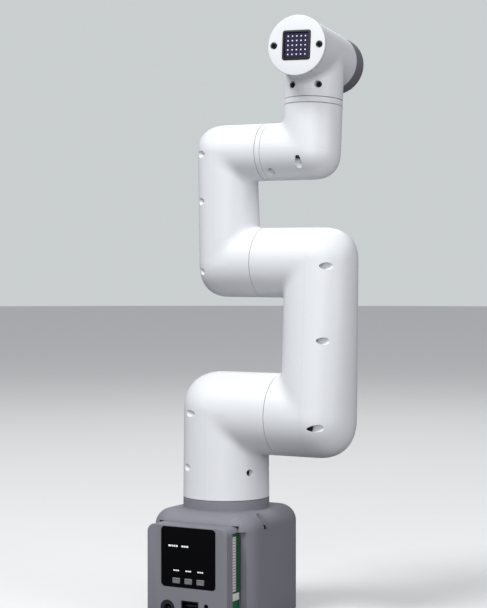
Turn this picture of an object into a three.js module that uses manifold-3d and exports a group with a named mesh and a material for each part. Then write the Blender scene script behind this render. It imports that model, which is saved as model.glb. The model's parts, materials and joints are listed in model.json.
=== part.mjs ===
// Desktop six-axis collaborative robot arm, built as an assembly of separate pieces.
// Units are millimetres. +Z is up, and -Y is the front of the base, where the display is.
// The origin is on the first joint's axis, in the flat underside of the base plate.
// Every link is drawn in its own frame and nested in the link that carries it.
import * as THREE from "three";
import { mergeVertices } from "three/addons/utils/BufferGeometryUtils.js";
import Module from "manifold-3d";

const wasm = await Module();
wasm.setup();

// ---------- driving dimensions ----------
const SEGMENTS = 20;            // sides of a large round surface
const SMALL_SEGMENTS = 8;        // sides of a screw or a pin
const WALL = 2.2;               // thickness of the moulded shells
const SEAM_GAP = 0.8;           // gap between two links at a joint
const FIT_GAP = 0.3;            // gap between two pieces that rest on each other
const CORNER_POWER = 3;         // 2 is a ball corner, larger is squarer

const SHOULDER_HEIGHT = 159;    // second joint's axis above the table
const UPPER_ARM = 118.7;        // second joint's axis to third
const FOREARM = 86.5;           // third joint's axis to fourth
const WRIST_RISE = 74.4;        // fourth joint's axis to sixth
const FLANGE_REACH = 50.8;      // sixth joint's flange face to fifth joint's axis

const REST = { waist: 0, shoulder: 2.1, elbow: -5.4, wrist: 7.6, roll: 6.8 };  // degrees

const COLUMN = { x: 0, halfWidth: 34.2, bottomDepth: 34.2, topDepth: 32.2 };
const UPPER = { x: 82.3, halfWidth: 28.9, bottomDepth: 32.2, topDepth: 27.3 };
const FORE = { x: 1.5, halfWidth: 23.7, bottomDepth: 27.3, topDepth: 22.3 };
const WRIST = { x: 76.4, halfWidth: 22.6, bottomDepth: 22.3, topDepth: 22.6 };
const END = { radius: 22.6, front: -37, back: 33.4 };

const SEAM = { waist: 92, shoulder: 50.7, elbow: 33.1, wrist: 37.4, roll: 34.4, flange: 33.8 };
const RING_WIDTH = 4.7;         // the loose ring at the fourth and fifth joints

const BASE = { half: 45.8, corner: 18, top: 84, shoulder: 13, wall: 2.6 };
const CASE = { half: 35.6, front: -59.2, back: -38, bottom: 2, top: 75.6, corner: 6.5, wall: 2.4 };
const BEZEL = { front: -61.6, back: -59.6 };
const GLASS = { x: 1.3, z: 51.1, width: 48.2, height: 46.2, corner: 3.2, thickness: 1.5 };
const BUTTON = { width: 6.5, height: 4.3, pitch: 10.75, x: 1.5, z: 33, proud: 0.5 };
const SIDE_SLOT = { front: -52.6, back: -40.1, bottom: 8, top: 71 };
const JACK = { x: -17.2, z: 11, radius: 6.2, bore: 3.2, pin: 1, depth: 12 };
const PORT = { x: 2.8, z: 14.2, width: 15, height: 7.2, wall: 0.7, depth: 11 };
const SENSOR = { x: 17.3, z: 15, radius: 2, depth: 1.2 };

// Servo bodies: width across the axis, height across the axis, depth along the axis.
const SERVO = {
  large: { width: 34, height: 46, depth: 30, hub: 8.6, mouth: 10, horn: 14 },
  medium: { width: 28, height: 38, depth: 26, hub: 7, mouth: 8.2, horn: 12 },
  small: { width: 22, height: 30, depth: 24, hub: 5.6, mouth: 6.6, horn: 9.3 },
};
const MOUTH_WALL = 2.5;         // end wall of a link at a joint
const HORN_THICKNESS = 3;

const FLANGE_HOLES = { circle: 14, radius: 1.5 };

const SCREW = { head: 2.1, shank: 1.2, length: 8, pocket: 2.8, boss: 3.9 };

// ---------- finishes ----------
const FINISH = {
  white: { color: 0xe6e9ec, roughness: 0.45, metalness: 0 },
  grey: { color: 0x6f7079, roughness: 0.6, metalness: 0 },
  darkGrey: { color: 0x4c4b53, roughness: 0.5, metalness: 0 },
  black: { color: 0x0c0d10, roughness: 0.35, metalness: 0 },
  glass: { color: 0x050608, roughness: 0.12, metalness: 0 },
  button: { color: 0x8a8b90, roughness: 0.6, metalness: 0 },
  rubber: { color: 0x1c1c1e, roughness: 0.9, metalness: 0 },
  steel: { color: 0x2b2c30, roughness: 0.35, metalness: 1 },
  aluminium: { color: 0xb8bcc2, roughness: 0.35, metalness: 1 },
  board: { color: 0x1f5a34, roughness: 0.5, metalness: 0 },
};

// ---------- solids ----------
function toSolid(geometry) {
  geometry.deleteAttribute("normal");
  geometry.deleteAttribute("uv");
  const merged = mergeVertices(geometry, 1e-4);
  const vertProperties = new Float32Array(merged.attributes.position.array);
  const triVerts = new Uint32Array(merged.index.array);
  return new wasm.Manifold(new wasm.Mesh({ numProp: 3, vertProperties, triVerts }));
}

function toPiece(name, solid, finish) {
  const mesh = solid.getMesh();
  const geometry = new THREE.BufferGeometry();
  geometry.setAttribute("position", new THREE.BufferAttribute(mesh.vertProperties, 3));
  geometry.setIndex(new THREE.BufferAttribute(mesh.triVerts, 1));
  geometry.computeVertexNormals();
  const piece = new THREE.Mesh(geometry, new THREE.MeshStandardMaterial(finish));
  piece.name = name;
  return piece;
}

function block(low, high) {
  const size = high.map((value, axis) => value - low[axis]);
  const geometry = new THREE.BoxGeometry(...size);
  geometry.translate(...low.map((value, axis) => value + size[axis] / 2));
  return toSolid(geometry);
}

// A round bar along "x", "y" or "z" from one end to the other, at a place in the other two axes.
function rod(axis, radius, from, to, place = [0, 0], segments = SMALL_SEGMENTS) {
  const geometry = new THREE.CylinderGeometry(radius, radius, Math.abs(to - from), segments);
  const middle = (from + to) / 2;
  if (axis === "x") {
    geometry.rotateZ(Math.PI / 2);
    geometry.translate(middle, place[0], place[1]);
  } else if (axis === "z") {
    geometry.rotateX(Math.PI / 2);
    geometry.translate(place[0], place[1], middle);
  } else {
    geometry.translate(place[0], middle, place[1]);
  }
  return toSolid(geometry);
}

function roundedOutline(halfWidth, halfHeight, radius) {
  const outline = new THREE.Shape();
  outline.absarc(halfWidth - radius, halfHeight - radius, radius, 0, Math.PI / 2);
  outline.absarc(radius - halfWidth, halfHeight - radius, radius, Math.PI / 2, Math.PI);
  outline.absarc(radius - halfWidth, radius - halfHeight, radius, Math.PI, 1.5 * Math.PI);
  outline.absarc(halfWidth - radius, radius - halfHeight, radius, 1.5 * Math.PI, 2 * Math.PI);
  return outline;
}

// An upright plate with rounded corners that faces the front, from y = front to y = back.
function facePlate({ x, z, width, height, corner, front, back }) {
  const outline = roundedOutline(width / 2, height / 2, corner);
  const geometry = new THREE.ExtrudeGeometry(outline, {
    depth: back - front,
    bevelEnabled: false,
    curveSegments: 5,
  });
  geometry.rotateX(Math.PI / 2);
  geometry.translate(x, back, z);
  return toSolid(geometry);
}

// A straight tube along z. Its width is constant and its depth changes evenly up its length.
function taperedTube(spec, bottom, top, inset) {
  const geometry = new THREE.CylinderGeometry(1, 1, top - bottom, SEGMENTS);
  geometry.rotateX(Math.PI / 2);
  const position = geometry.attributes.position;
  for (let i = 0; i < position.count; i += 1) {
    const height = position.getZ(i) / (top - bottom) + 0.5;
    const depth = THREE.MathUtils.lerp(spec.bottomDepth, spec.topDepth, height) - inset;
    position.setX(i, spec.x + position.getX(i) * (spec.halfWidth - inset));
    position.setY(i, position.getY(i) * depth);
    position.setZ(i, bottom + height * (top - bottom));
  }
  return toSolid(geometry);
}

// The rounded outer corner where a tube along z turns into a stub along x. It is a ball whose
// outline in the XZ plane is squared up by CORNER_POWER; the tube and the stub hide the rest.
function cornerSolid(spec, radius, height, inset) {
  const geometry = new THREE.SphereGeometry(1, SEGMENTS, SEGMENTS / 2);
  const position = geometry.attributes.position;
  for (let i = 0; i < position.count; i += 1) {
    const ball = new THREE.Vector3().fromBufferAttribute(position, i);
    const reach = Math.hypot(ball.x, ball.z);
    const angle = Math.atan2(ball.z, ball.x);
    const power = Math.abs(Math.cos(angle)) ** CORNER_POWER + Math.abs(Math.sin(angle)) ** CORNER_POWER;
    const outline = reach / power ** (1 / CORNER_POWER);
    position.setX(i, spec.x + Math.cos(angle) * outline * (spec.halfWidth - inset));
    position.setY(i, ball.y * (radius - inset));
    position.setZ(i, height + Math.sin(angle) * outline * (radius - inset));
  }
  return toSolid(geometry);
}

// The tube of a link with a corner and a stub at each end that has one. Each end is
// { height, radius, stubTo, tubeSide }: tubeSide is 1 where the tube goes up from the corner.
function linkSolid(spec, bottom, top, ends, inset) {
  let solid = taperedTube(spec, bottom, top, inset);
  for (const end of ends) {
    const stubSide = Math.sign(end.stubTo - spec.x);
    const stubTo = end.stubTo - stubSide * (inset > 0 ? MOUTH_WALL : 0);
    const stub = rod("x", end.radius - inset, spec.x, stubTo, [0, end.height], SEGMENTS);
    solid = solid.add(stub);
    solid = solid.add(cornerSolid(spec, end.radius, end.height, inset));
  }
  return solid;
}

// Cuts a shell in two along a plane, and leaves a narrow gap between the halves.
function splitShell(shell, axis, at) {
  const far = 400;
  const low = [-far, -far, -far];
  const high = [far, far, far];
  const belowHigh = [...high];
  belowHigh[axis] = at - FIT_GAP / 2;
  const aboveLow = [...low];
  aboveLow[axis] = at + FIT_GAP / 2;
  return { below: shell.intersect(block(low, belowHigh)), above: shell.intersect(block(aboveLow, high)) };
}

// ---------- repeated pieces ----------
// A servo body behind a link's end wall. sign is 1 where its output points along the axis.
function servoSolid(axis, size, seam, sign, place) {
  const face = seam - sign * (SEAM_GAP / 2 + MOUTH_WALL + FIT_GAP);
  const rear = face - sign * size.depth;
  const along = [Math.min(face, rear), Math.max(face, rear)];
  const half = { width: size.width / 2, height: size.height / 2 };
  const spans = {
    x: [along, [place[0] - half.width, place[0] + half.width], [place[1] - half.height, place[1] + half.height]],
    y: [[place[0] - half.width, place[0] + half.width], along, [place[1] - half.height, place[1] + half.height]],
    z: [[place[0] - half.width, place[0] + half.width], [place[1] - half.height, place[1] + half.height], along],
  }[axis];
  const body = block(spans.map((span) => span[0]), spans.map((span) => span[1]));
  return body.add(rod(axis, size.hub, face, face + sign * (MOUTH_WALL - 0.6), place, 20));
}

// The output horn: a disc behind the driven link's end wall, with a hub that reaches the servo.
function hornSolid(axis, size, seam, sign, place, wallFace) {
  const hubEnd = seam - sign * (SEAM_GAP / 2 + 0.3);
  const discFace = wallFace + sign * FIT_GAP;
  const disc = rod(axis, size.horn, discFace, discFace + sign * HORN_THICKNESS, place, 24);
  return disc.add(rod(axis, size.hub, hubEnd, discFace + sign, place, 20));
}

// A cap screw whose head lies at the bottom of a pocket. sign is 1 where the head points along
// the axis. The pocket's floor is at "floor".
function screwSolid(axis, floor, sign, place) {
  const head = rod(axis, SCREW.head, floor + sign * 0.2, floor + sign * 2.2, place);
  const shank = rod(axis, SCREW.shank, floor - sign * (SCREW.length - 2), floor + sign * 0.4, place, 8);
  return head.add(shank);
}

// Adds a boss for a screw to a shell, and cuts its pocket and its hole. hull is the shell's
// outer shape, and the boss ends "grip" below the pocket's floor.
function withScrewPlace(shell, hull, axis, floor, sign, place, grip = 8) {
  const reach = 45;
  const boss = rod(axis, SCREW.boss, floor - sign * grip, floor + sign * reach, place).intersect(hull);
  const pocket = rod(axis, SCREW.pocket, floor, floor + sign * reach, place);
  const hole = rod(axis, SCREW.shank + 0.3, floor - sign * (grip + 1), floor + sign, place, 8);
  return shell.add(boss).subtract(pocket).subtract(hole);
}

function frameAt(position, rotation = [0, 0, 0]) {
  const frame = new THREE.Group();
  frame.position.set(...position);
  frame.rotation.set(...rotation.map(THREE.MathUtils.degToRad));
  return frame;
}

function addPiece(frame, name, solid, finish) {
  frame.add(toPiece(name, solid, FINISH[finish]));
}

// ---------- base ----------
const base = frameAt([0, 0, 0]);

// A block with a rounded square plan and a rounded top edge, from z = 0 up.
function housingSolid(inset) {
  const half = BASE.half - inset;
  const edge = BASE.shoulder - inset;
  const geometry = new THREE.ExtrudeGeometry(roundedOutline(half, half, BASE.corner - inset), {
    depth: BASE.top - inset,
    bevelThickness: edge,
    bevelSize: edge,
    bevelOffset: -edge,
    bevelSegments: 4,
    curveSegments: 4,
  });
  geometry.translate(0, 0, -edge);
  const aboveFloor = block([-half, -half, inset > 0 ? -1 : 0], [half, half, BASE.top]);
  return toSolid(geometry).intersect(aboveFloor);
}

const BASE_SCREWS = [[-42.3, -19], [42.3, -19], [20, 42.3], [-20, 42.3]];
const BASE_SCREW = { floor: 71, pocket: 4, boss: 5.8, post: 4.4, postShift: 3.6, grip: 13 };
const NEST_WALL = 2;            // walls round the space that the controller case slides into

function buildHousing() {
  const collar = rod("z", COLUMN.halfWidth, BASE.top - 4, SEAM.waist - SEAM_GAP / 2, [0, 0], SEGMENTS);
  const collarBore = COLUMN.halfWidth - WALL;
  const ceiling = SEAM.waist - SEAM_GAP / 2 - MOUTH_WALL;
  const hull = housingSolid(0).add(collar);
  let housing = hull.subtract(housingSolid(BASE.wall));
  housing = housing.subtract(rod("z", collarBore, BASE.top - 12, ceiling, [0, 0], SEGMENTS));
  housing = housing.subtract(rod("z", SERVO.large.mouth, ceiling - 1, SEAM.waist, [0, 0], 20));
  for (const place of BASE_SCREWS) {
    const { floor, pocket, boss, grip } = BASE_SCREW;
    housing = housing.add(rod("z", boss, floor - 3, BASE.top, place, 16).intersect(hull));
    housing = housing.subtract(rod("z", pocket, floor, BASE.top + 5, place, 16));
    housing = housing.subtract(rod("z", SCREW.shank + 0.5, floor - grip, floor + 1, place, 8));
  }
  const slotLow = [CASE.half - 4, -BASE.half - 5, SIDE_SLOT.bottom];
  const slotHigh = [BASE.half + 5, SIDE_SLOT.back, SIDE_SLOT.top];
  const nestWalls = nestBlock(FIT_GAP + NEST_WALL, 0).intersect(hull);
  return housing.add(nestWalls).subtract(nestBlock(FIT_GAP, -1)).subtract(block(slotLow, slotHigh));
}

// The space behind the front of the base that the controller case fills, grown by "grow".
function nestBlock(grow, bottom) {
  const half = CASE.half + grow;
  return block([-half, -BASE.half - 5, bottom], [half, CASE.back + grow, CASE.top + grow]);
}

function buildBasePlate() {
  const half = BASE.half - BASE.wall - FIT_GAP;
  const outline = roundedOutline(half, half, BASE.corner - BASE.wall - FIT_GAP);
  const sheet = new THREE.ExtrudeGeometry(outline, { depth: 3, bevelEnabled: false, curveSegments: 5 });
  let plate = toSolid(sheet);
  for (const place of BASE_SCREWS) {
    const across = Math.abs(place[0]) > Math.abs(place[1]) ? 0 : 1;
    const inner = [...place];
    inner[across] -= Math.sign(place[across]) * BASE_SCREW.postShift;
    const top = BASE_SCREW.floor - 3 - FIT_GAP;
    plate = plate.add(rod("z", BASE_SCREW.post, 1, top, inner, 12));
    plate = plate.subtract(rod("z", SCREW.shank + 0.3, BASE_SCREW.floor - 12, top + 1, place, 8));
  }
  return plate.subtract(nestBlock(2 * FIT_GAP + NEST_WALL, -1));
}

function buildCase() {
  const width = 2 * CASE.half;
  const height = CASE.top - CASE.bottom;
  const z = (CASE.top + CASE.bottom) / 2;
  const outer = facePlate({ x: 0, z, width, height, corner: CASE.corner, front: CASE.front, back: CASE.back });
  const inner = facePlate({
    x: 0,
    z,
    width: width - 2 * CASE.wall,
    height: height - 2 * CASE.wall,
    corner: CASE.corner - CASE.wall,
    front: CASE.front - 1,
    back: CASE.back + 1,
  });
  const slotLow = [CASE.half - 4, SIDE_SLOT.front, SIDE_SLOT.bottom];
  const slotHigh = [CASE.half + 1, CASE.back + 1, SIDE_SLOT.top];
  return outer.subtract(inner).subtract(block(slotLow, slotHigh));
}

function buildBezel() {
  const height = CASE.top - CASE.bottom;
  const z = (CASE.top + CASE.bottom) / 2;
  const plate = facePlate({ ...BEZEL, x: 0, z, width: 2 * CASE.half, height, corner: CASE.corner });
  const window = facePlate({
    ...GLASS,
    width: GLASS.width + 2 * FIT_GAP,
    height: GLASS.height + 2 * FIT_GAP,
    front: BEZEL.front - 1,
    back: BEZEL.back + 1,
  });
  const jackHole = rod("y", JACK.radius + FIT_GAP, BEZEL.front - 1, BEZEL.back + 1, [JACK.x, JACK.z], 20);
  const half = { width: PORT.width / 2 + FIT_GAP, height: PORT.height / 2 + FIT_GAP };
  const portLow = [PORT.x - half.width, BEZEL.front - 1, PORT.z - half.height];
  const portHigh = [PORT.x + half.width, BEZEL.back + 1, PORT.z + half.height];
  const sensorHole = rod("y", SENSOR.radius, BEZEL.front - 1, BEZEL.front + SENSOR.depth, [SENSOR.x, SENSOR.z]);
  return plate.subtract(window).subtract(jackHole).subtract(block(portLow, portHigh)).subtract(sensorHole);
}

const buttonX = [-1, 0, 1].map((side) => BUTTON.x + side * BUTTON.pitch);

function buttonBlock(x, gap, front, back) {
  const half = { width: BUTTON.width / 2 + gap, height: BUTTON.height / 2 + gap };
  const low = [x - half.width, front, BUTTON.z - half.height];
  return block(low, [x + half.width, back, BUTTON.z + half.height]);
}

function buildGlass() {
  const front = BEZEL.front + 0.1;
  let glass = facePlate({ ...GLASS, front, back: front + GLASS.thickness });
  for (const x of buttonX) {
    glass = glass.subtract(buttonBlock(x, FIT_GAP, front - 1, front + GLASS.thickness + 1));
  }
  return glass;
}

function buildPowerJack() {
  const front = BEZEL.front + 0.3;
  const back = front + JACK.depth;
  const body = rod("y", JACK.radius, front, back, [JACK.x, JACK.z], 20);
  const bore = rod("y", JACK.bore, front - 1, back - 2, [JACK.x, JACK.z], 16);
  const pin = rod("y", JACK.pin, front + 1, back - 1, [JACK.x, JACK.z], 8);
  return body.subtract(bore).add(pin);
}

function buildPort() {
  const front = BEZEL.front + 0.3;
  const half = { width: PORT.width / 2, height: PORT.height / 2 };
  const body = block(
    [PORT.x - half.width, front, PORT.z - half.height],
    [PORT.x + half.width, front + PORT.depth, PORT.z + half.height],
  );
  const mouth = block(
    [PORT.x - half.width + PORT.wall, front - 1, PORT.z - half.height + PORT.wall],
    [PORT.x + half.width - PORT.wall, front + PORT.depth - 2, PORT.z + half.height - PORT.wall],
  );
  return body.subtract(mouth);
}

function buildBase() {
  addPiece(base, "base_housing", buildHousing(), "grey");
  addPiece(base, "base_plate", buildBasePlate(), "grey");
  addPiece(base, "controller_case", buildCase(), "grey");
  addPiece(base, "display_bezel", buildBezel(), "grey");
  addPiece(base, "display_glass", buildGlass(), "glass");
  buttonX.forEach((x, index) => {
    const key = buttonBlock(x, 0, BEZEL.front - BUTTON.proud, BEZEL.back + 1);
    addPiece(base, `display_button_${index + 1}`, key, "button");
  });
  addPiece(base, "controller_board", block([-30, -57, 22], [30, -55.4, 70]), "board");
  addPiece(base, "power_jack", buildPowerJack(), "black");
  addPiece(base, "port_socket", buildPort(), "steel");
  addPiece(base, "side_board", block([31.6, -52, 9], [33, CASE.back - FIT_GAP, 70]), "board");
  addPiece(base, "pin_header", block([33.3, -46.6, 25.2], [35.3, -40.4, 68.3]), "black");
  BASE_SCREWS.forEach((place, index) => {
    const floor = BASE_SCREW.floor;
    const head = rod("z", 3, floor + 0.2, floor + 3, place);
    const screw = head.add(rod("z", 1.4, floor - 11, floor + 0.5, place, 8));
    addPiece(base, `base_screw_${index + 1}`, screw, "steel");
  });
  addPiece(base, "waist_servo", servoSolid("z", SERVO.large, SEAM.waist, 1, [0, 0]), "black");
}
buildBase();

// ---------- links ----------
const link1 = frameAt([0, 0, SHOULDER_HEIGHT], [0, 0, REST.waist]);
const link2 = frameAt([0, 0, 0], [-REST.shoulder, 0, 0]);
const link3 = frameAt([0, 0, UPPER_ARM], [-REST.elbow, 0, 0]);
const link4 = frameAt([0, 0, FOREARM], [-REST.wrist, 0, 0]);
const link5 = frameAt([WRIST.x, 0, 0], [0, 0, REST.roll]);
base.add(link1);
link1.add(link2);
link2.add(link3);
link3.add(link4);
link4.add(link5);

// Half the depth of a link's tube at a height up it.
function depthAt(spec, bottom, top, height) {
  const along = THREE.MathUtils.clamp((height - bottom) / (top - bottom), 0, 1);
  return THREE.MathUtils.lerp(spec.bottomDepth, spec.topDepth, along);
}

// Builds a link's shell and outer cover, which meet on a plane across x through the tube.
// coverSide is the side of the tube that the cover is on, and the screws come in from there.
// The screws in "inward" come in from the other side.
function addLink(frame, name, { spec, bottom, top, ends, mouths, coverSide, screwHeights, inward = [] }) {
  const hull = linkSolid(spec, bottom, top, ends, 0);
  let shell = hull.subtract(linkSolid(spec, ...cavitySpan(bottom, top, ends), ends, WALL));
  for (const mouth of mouths) {
    shell = shell.subtract(rod(mouth.axis, mouth.size.mouth, mouth.at - 4, mouth.at + 4, mouth.place, 20));
  }
  const floor = spec.x + coverSide * 4;
  const screws = screwHeights.map(({ height, inset }) => {
    const y = depthAt(spec, bottom, top, height) - inset;
    return [y, height];
  });
  for (const [y, height] of screws) {
    for (const side of [-1, 1]) {
      shell = withScrewPlace(shell, hull, "x", floor, coverSide, [side * y, height], 12);
    }
  }
  for (const { floor: inwardFloor, y, height } of inward) {
    for (const side of [-1, 1]) {
      shell = withScrewPlace(shell, hull, "x", inwardFloor, -coverSide, [side * y, height], 5);
    }
  }
  const halves = splitShell(shell, 0, spec.x);
  addPiece(frame, `${name}_shell`, coverSide > 0 ? halves.below : halves.above, "white");
  addPiece(frame, `${name}_cover`, coverSide > 0 ? halves.above : halves.below, "white");
  screws.forEach(([y, height], index) => {
    const screw = screwSolid("x", floor, coverSide, [-y, height]);
    addPiece(frame, `${name}_screw_${index + 1}`, screw, "steel");
  });
  inward.forEach(({ floor: inwardFloor, y, height }, index) => {
    const screw = screwSolid("x", inwardFloor, -coverSide, [-y, height]);
    addPiece(frame, `${name}_screw_${screws.length + index + 1}`, screw, "steel");
  });
}

// The tube's cavity stops short of an open end, so that an end wall is left there.
function cavitySpan(bottom, top, ends) {
  const closedBelow = ends.some((end) => end.tubeSide > 0);
  const closedAbove = ends.some((end) => end.tubeSide < 0);
  return [closedBelow ? bottom : bottom + MOUTH_WALL, closedAbove ? top : top - MOUTH_WALL];
}

function buildShoulder() {
  const bottom = SEAM.waist + SEAM_GAP / 2 - SHOULDER_HEIGHT;
  const stubTo = SEAM.shoulder - SEAM_GAP / 2;
  addLink(link1, "shoulder", {
    spec: COLUMN,
    bottom,
    top: 0,
    ends: [{ height: 0, radius: COLUMN.topDepth, stubTo, tubeSide: -1 }],
    mouths: [
      { axis: "z", at: bottom, place: [0, 0], size: SERVO.large },
      { axis: "x", at: stubTo, place: [0, 0], size: SERVO.large },
    ],
    coverSide: -1,
    screwHeights: [{ height: 0, inset: 4.6 }, { height: -42.8, inset: 6.5 }],
    inward: [{ floor: 24, y: 15.6, height: -45.5 }],
  });
  const seam = SEAM.waist - SHOULDER_HEIGHT;
  addPiece(link1, "waist_horn", hornSolid("z", SERVO.large, seam, 1, [0, 0], bottom + MOUTH_WALL), "aluminium");
  addPiece(link1, "shoulder_servo", servoSolid("x", SERVO.large, SEAM.shoulder, 1, [0, 0]), "black");
}

function buildUpperArm() {
  const lowerStub = SEAM.shoulder + SEAM_GAP / 2;
  const upperStub = SEAM.elbow + SEAM_GAP / 2;
  addLink(link2, "upper_arm", {
    spec: UPPER,
    bottom: 0,
    top: UPPER_ARM,
    ends: [
      { height: 0, radius: UPPER.bottomDepth, stubTo: lowerStub, tubeSide: 1 },
      { height: UPPER_ARM, radius: UPPER.topDepth, stubTo: upperStub, tubeSide: -1 },
    ],
    mouths: [
      { axis: "x", at: lowerStub, place: [0, 0], size: SERVO.large },
      { axis: "x", at: upperStub, place: [0, UPPER_ARM], size: SERVO.medium },
    ],
    coverSide: 1,
    screwHeights: [{ height: -7.6, inset: 4.2 }, { height: 58.5, inset: 4.8 }, { height: 115.4, inset: 4.8 }],
  });
  const wallFace = lowerStub + MOUTH_WALL;
  addPiece(link2, "shoulder_horn", hornSolid("x", SERVO.large, SEAM.shoulder, 1, [0, 0], wallFace), "aluminium");
  const servo = servoSolid("x", SERVO.medium, SEAM.elbow, -1, [0, UPPER_ARM]);
  addPiece(link2, "elbow_servo", servo, "black");
}

function buildForearm() {
  const lowerStub = SEAM.elbow - SEAM_GAP / 2;
  const upperStub = SEAM.wrist - SEAM_GAP / 2;
  addLink(link3, "forearm", {
    spec: FORE,
    bottom: 0,
    top: FOREARM,
    ends: [
      { height: 0, radius: FORE.bottomDepth, stubTo: lowerStub, tubeSide: 1 },
      { height: FOREARM, radius: FORE.topDepth, stubTo: upperStub, tubeSide: -1 },
    ],
    mouths: [
      { axis: "x", at: lowerStub, place: [0, 0], size: SERVO.medium },
      { axis: "x", at: upperStub, place: [0, FOREARM], size: SERVO.small },
    ],
    coverSide: -1,
    screwHeights: [{ height: -5.6, inset: 5.5 }, { height: 49.4, inset: 4.8 }, { height: 86.5, inset: 4.4 }],
  });
  const wallFace = lowerStub - MOUTH_WALL;
  addPiece(link3, "elbow_horn", hornSolid("x", SERVO.medium, SEAM.elbow, -1, [0, 0], wallFace), "aluminium");
  addPiece(link3, "wrist_servo", servoSolid("x", SERVO.small, SEAM.wrist, 1, [0, FOREARM]), "black");
}

// A loose ring between two links, open in the middle for the horn's hub.
function ringSolid(axis, radius, from, to, place) {
  const ring = rod(axis, radius, from, to, place, SEGMENTS);
  return ring.subtract(rod(axis, SERVO.small.mouth, from - 1, to + 1, place, 20));
}

function buildWrist() {
  const seam = SEAM.wrist + RING_WIDTH;
  const stubTo = seam + SEAM_GAP / 2;
  const top = SEAM.roll - SEAM_GAP / 2;
  const ends = [{ height: 0, radius: WRIST.bottomDepth, stubTo, tubeSide: 1 }];
  const hull = linkSolid(WRIST, 0, top, ends, 0);
  let shell = hull.subtract(linkSolid(WRIST, 0, top - MOUTH_WALL, ends, WALL));
  shell = shell.subtract(rod("x", SERVO.small.mouth, stubTo - 4, stubTo + 4, [0, 0], 20));
  shell = shell.subtract(rod("z", SERVO.small.mouth, top - 4, top + 4, [WRIST.x, 0], 20));
  const floor = -6;
  const screws = [[WRIST.x - 1.4, 19], [49.2, 13.8]];
  for (const [x, y] of screws) {
    const rib = block([x - 2.5, y, 0], [x + 2.5, WRIST.topDepth, 4]);
    shell = shell.add(rib.add(rib.mirror([0, 1, 0])).intersect(hull));
    for (const side of [-1, 1]) {
      shell = withScrewPlace(shell, hull, "z", floor, -1, [x, side * y], 10);
    }
  }
  const halves = splitShell(shell, 2, 0);
  addPiece(link4, "wrist_shell", halves.above, "white");
  addPiece(link4, "wrist_cover", halves.below, "white");
  screws.forEach(([x, y], index) => {
    addPiece(link4, `wrist_screw_${index + 1}`, screwSolid("z", floor, -1, [x, -y]), "steel");
  });
  const ring = ringSolid("x", WRIST.bottomDepth, SEAM.wrist + SEAM_GAP / 2, seam - SEAM_GAP / 2, [0, 0]);
  addPiece(link4, "wrist_ring", ring, "white");
  const wristHorn = hornSolid("x", SERVO.small, SEAM.wrist, 1, [0, 0], stubTo + MOUTH_WALL);
  addPiece(link4, "wrist_horn", wristHorn, "aluminium");
  addPiece(link4, "roll_servo", servoSolid("z", SERVO.small, SEAM.roll, 1, [WRIST.x, 0]), "black");
}

// ---------- end of the arm ----------
const END_CAP = { radius: 22.9, front: -41.5, back: -38.8 };
const MATRIX = { half: 11.1, corner: 1.8, front: -42.2, back: -32, frame: 1.4 };
const CAP_SCREW_X = 18.2;
const FRONT_SCREW = { x: 10.4, z: -26.2, floor: -15.6 };

function buildEndBody() {
  const bottom = SEAM.roll + RING_WIDTH + SEAM_GAP / 2 - WRIST_RISE;
  const barrel = rod("y", END.radius, END.front, END.back, [0, 0], SEGMENTS);
  const hull = barrel.add(rod("z", WRIST.topDepth, bottom, 0, [0, 0], SEGMENTS));
  const barrelBore = rod("y", END.radius - WALL, END.front - 1, END.back - MOUTH_WALL, [0, 0], SEGMENTS);
  const stubBore = rod("z", WRIST.topDepth - WALL, bottom + MOUTH_WALL, 0, [0, 0], SEGMENTS);
  let body = hull.subtract(barrelBore).subtract(stubBore);
  body = body.subtract(rod("z", SERVO.small.mouth, bottom - 1, bottom + 4, [0, 0], 20));
  body = body.subtract(rod("y", SERVO.small.mouth, END.back - 4, END.back + 1, [0, 0], 20));
  for (const side of [-1, 1]) {
    const place = [side * FRONT_SCREW.x, FRONT_SCREW.z];
    body = withScrewPlace(body, hull, "y", FRONT_SCREW.floor, -1, place, 2);
  }
  return body;
}

function buildEndCap() {
  const disc = rod("y", END_CAP.radius, END_CAP.front, END_CAP.back, [0, 0], SEGMENTS);
  const size = 2 * (MATRIX.half + FIT_GAP);
  const hole = facePlate({
    x: 0,
    z: 0,
    width: size,
    height: size,
    corner: MATRIX.corner + FIT_GAP,
    front: END_CAP.front - 1,
    back: END_CAP.back + 1,
  });
  let cap = disc.subtract(hole);
  for (const side of [-1, 1]) {
    const place = [side * CAP_SCREW_X, 0];
    cap = cap.subtract(rod("y", 2.3, END_CAP.front - 1, END_CAP.front + 2.4, place));
    cap = cap.subtract(rod("y", 1.3, END_CAP.front, END_CAP.back + 1, place, 8));
  }
  return cap;
}

function matrixPlate(half, corner, front, back) {
  return facePlate({ x: 0, z: 0, width: 2 * half, height: 2 * half, corner, front, back });
}

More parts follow.
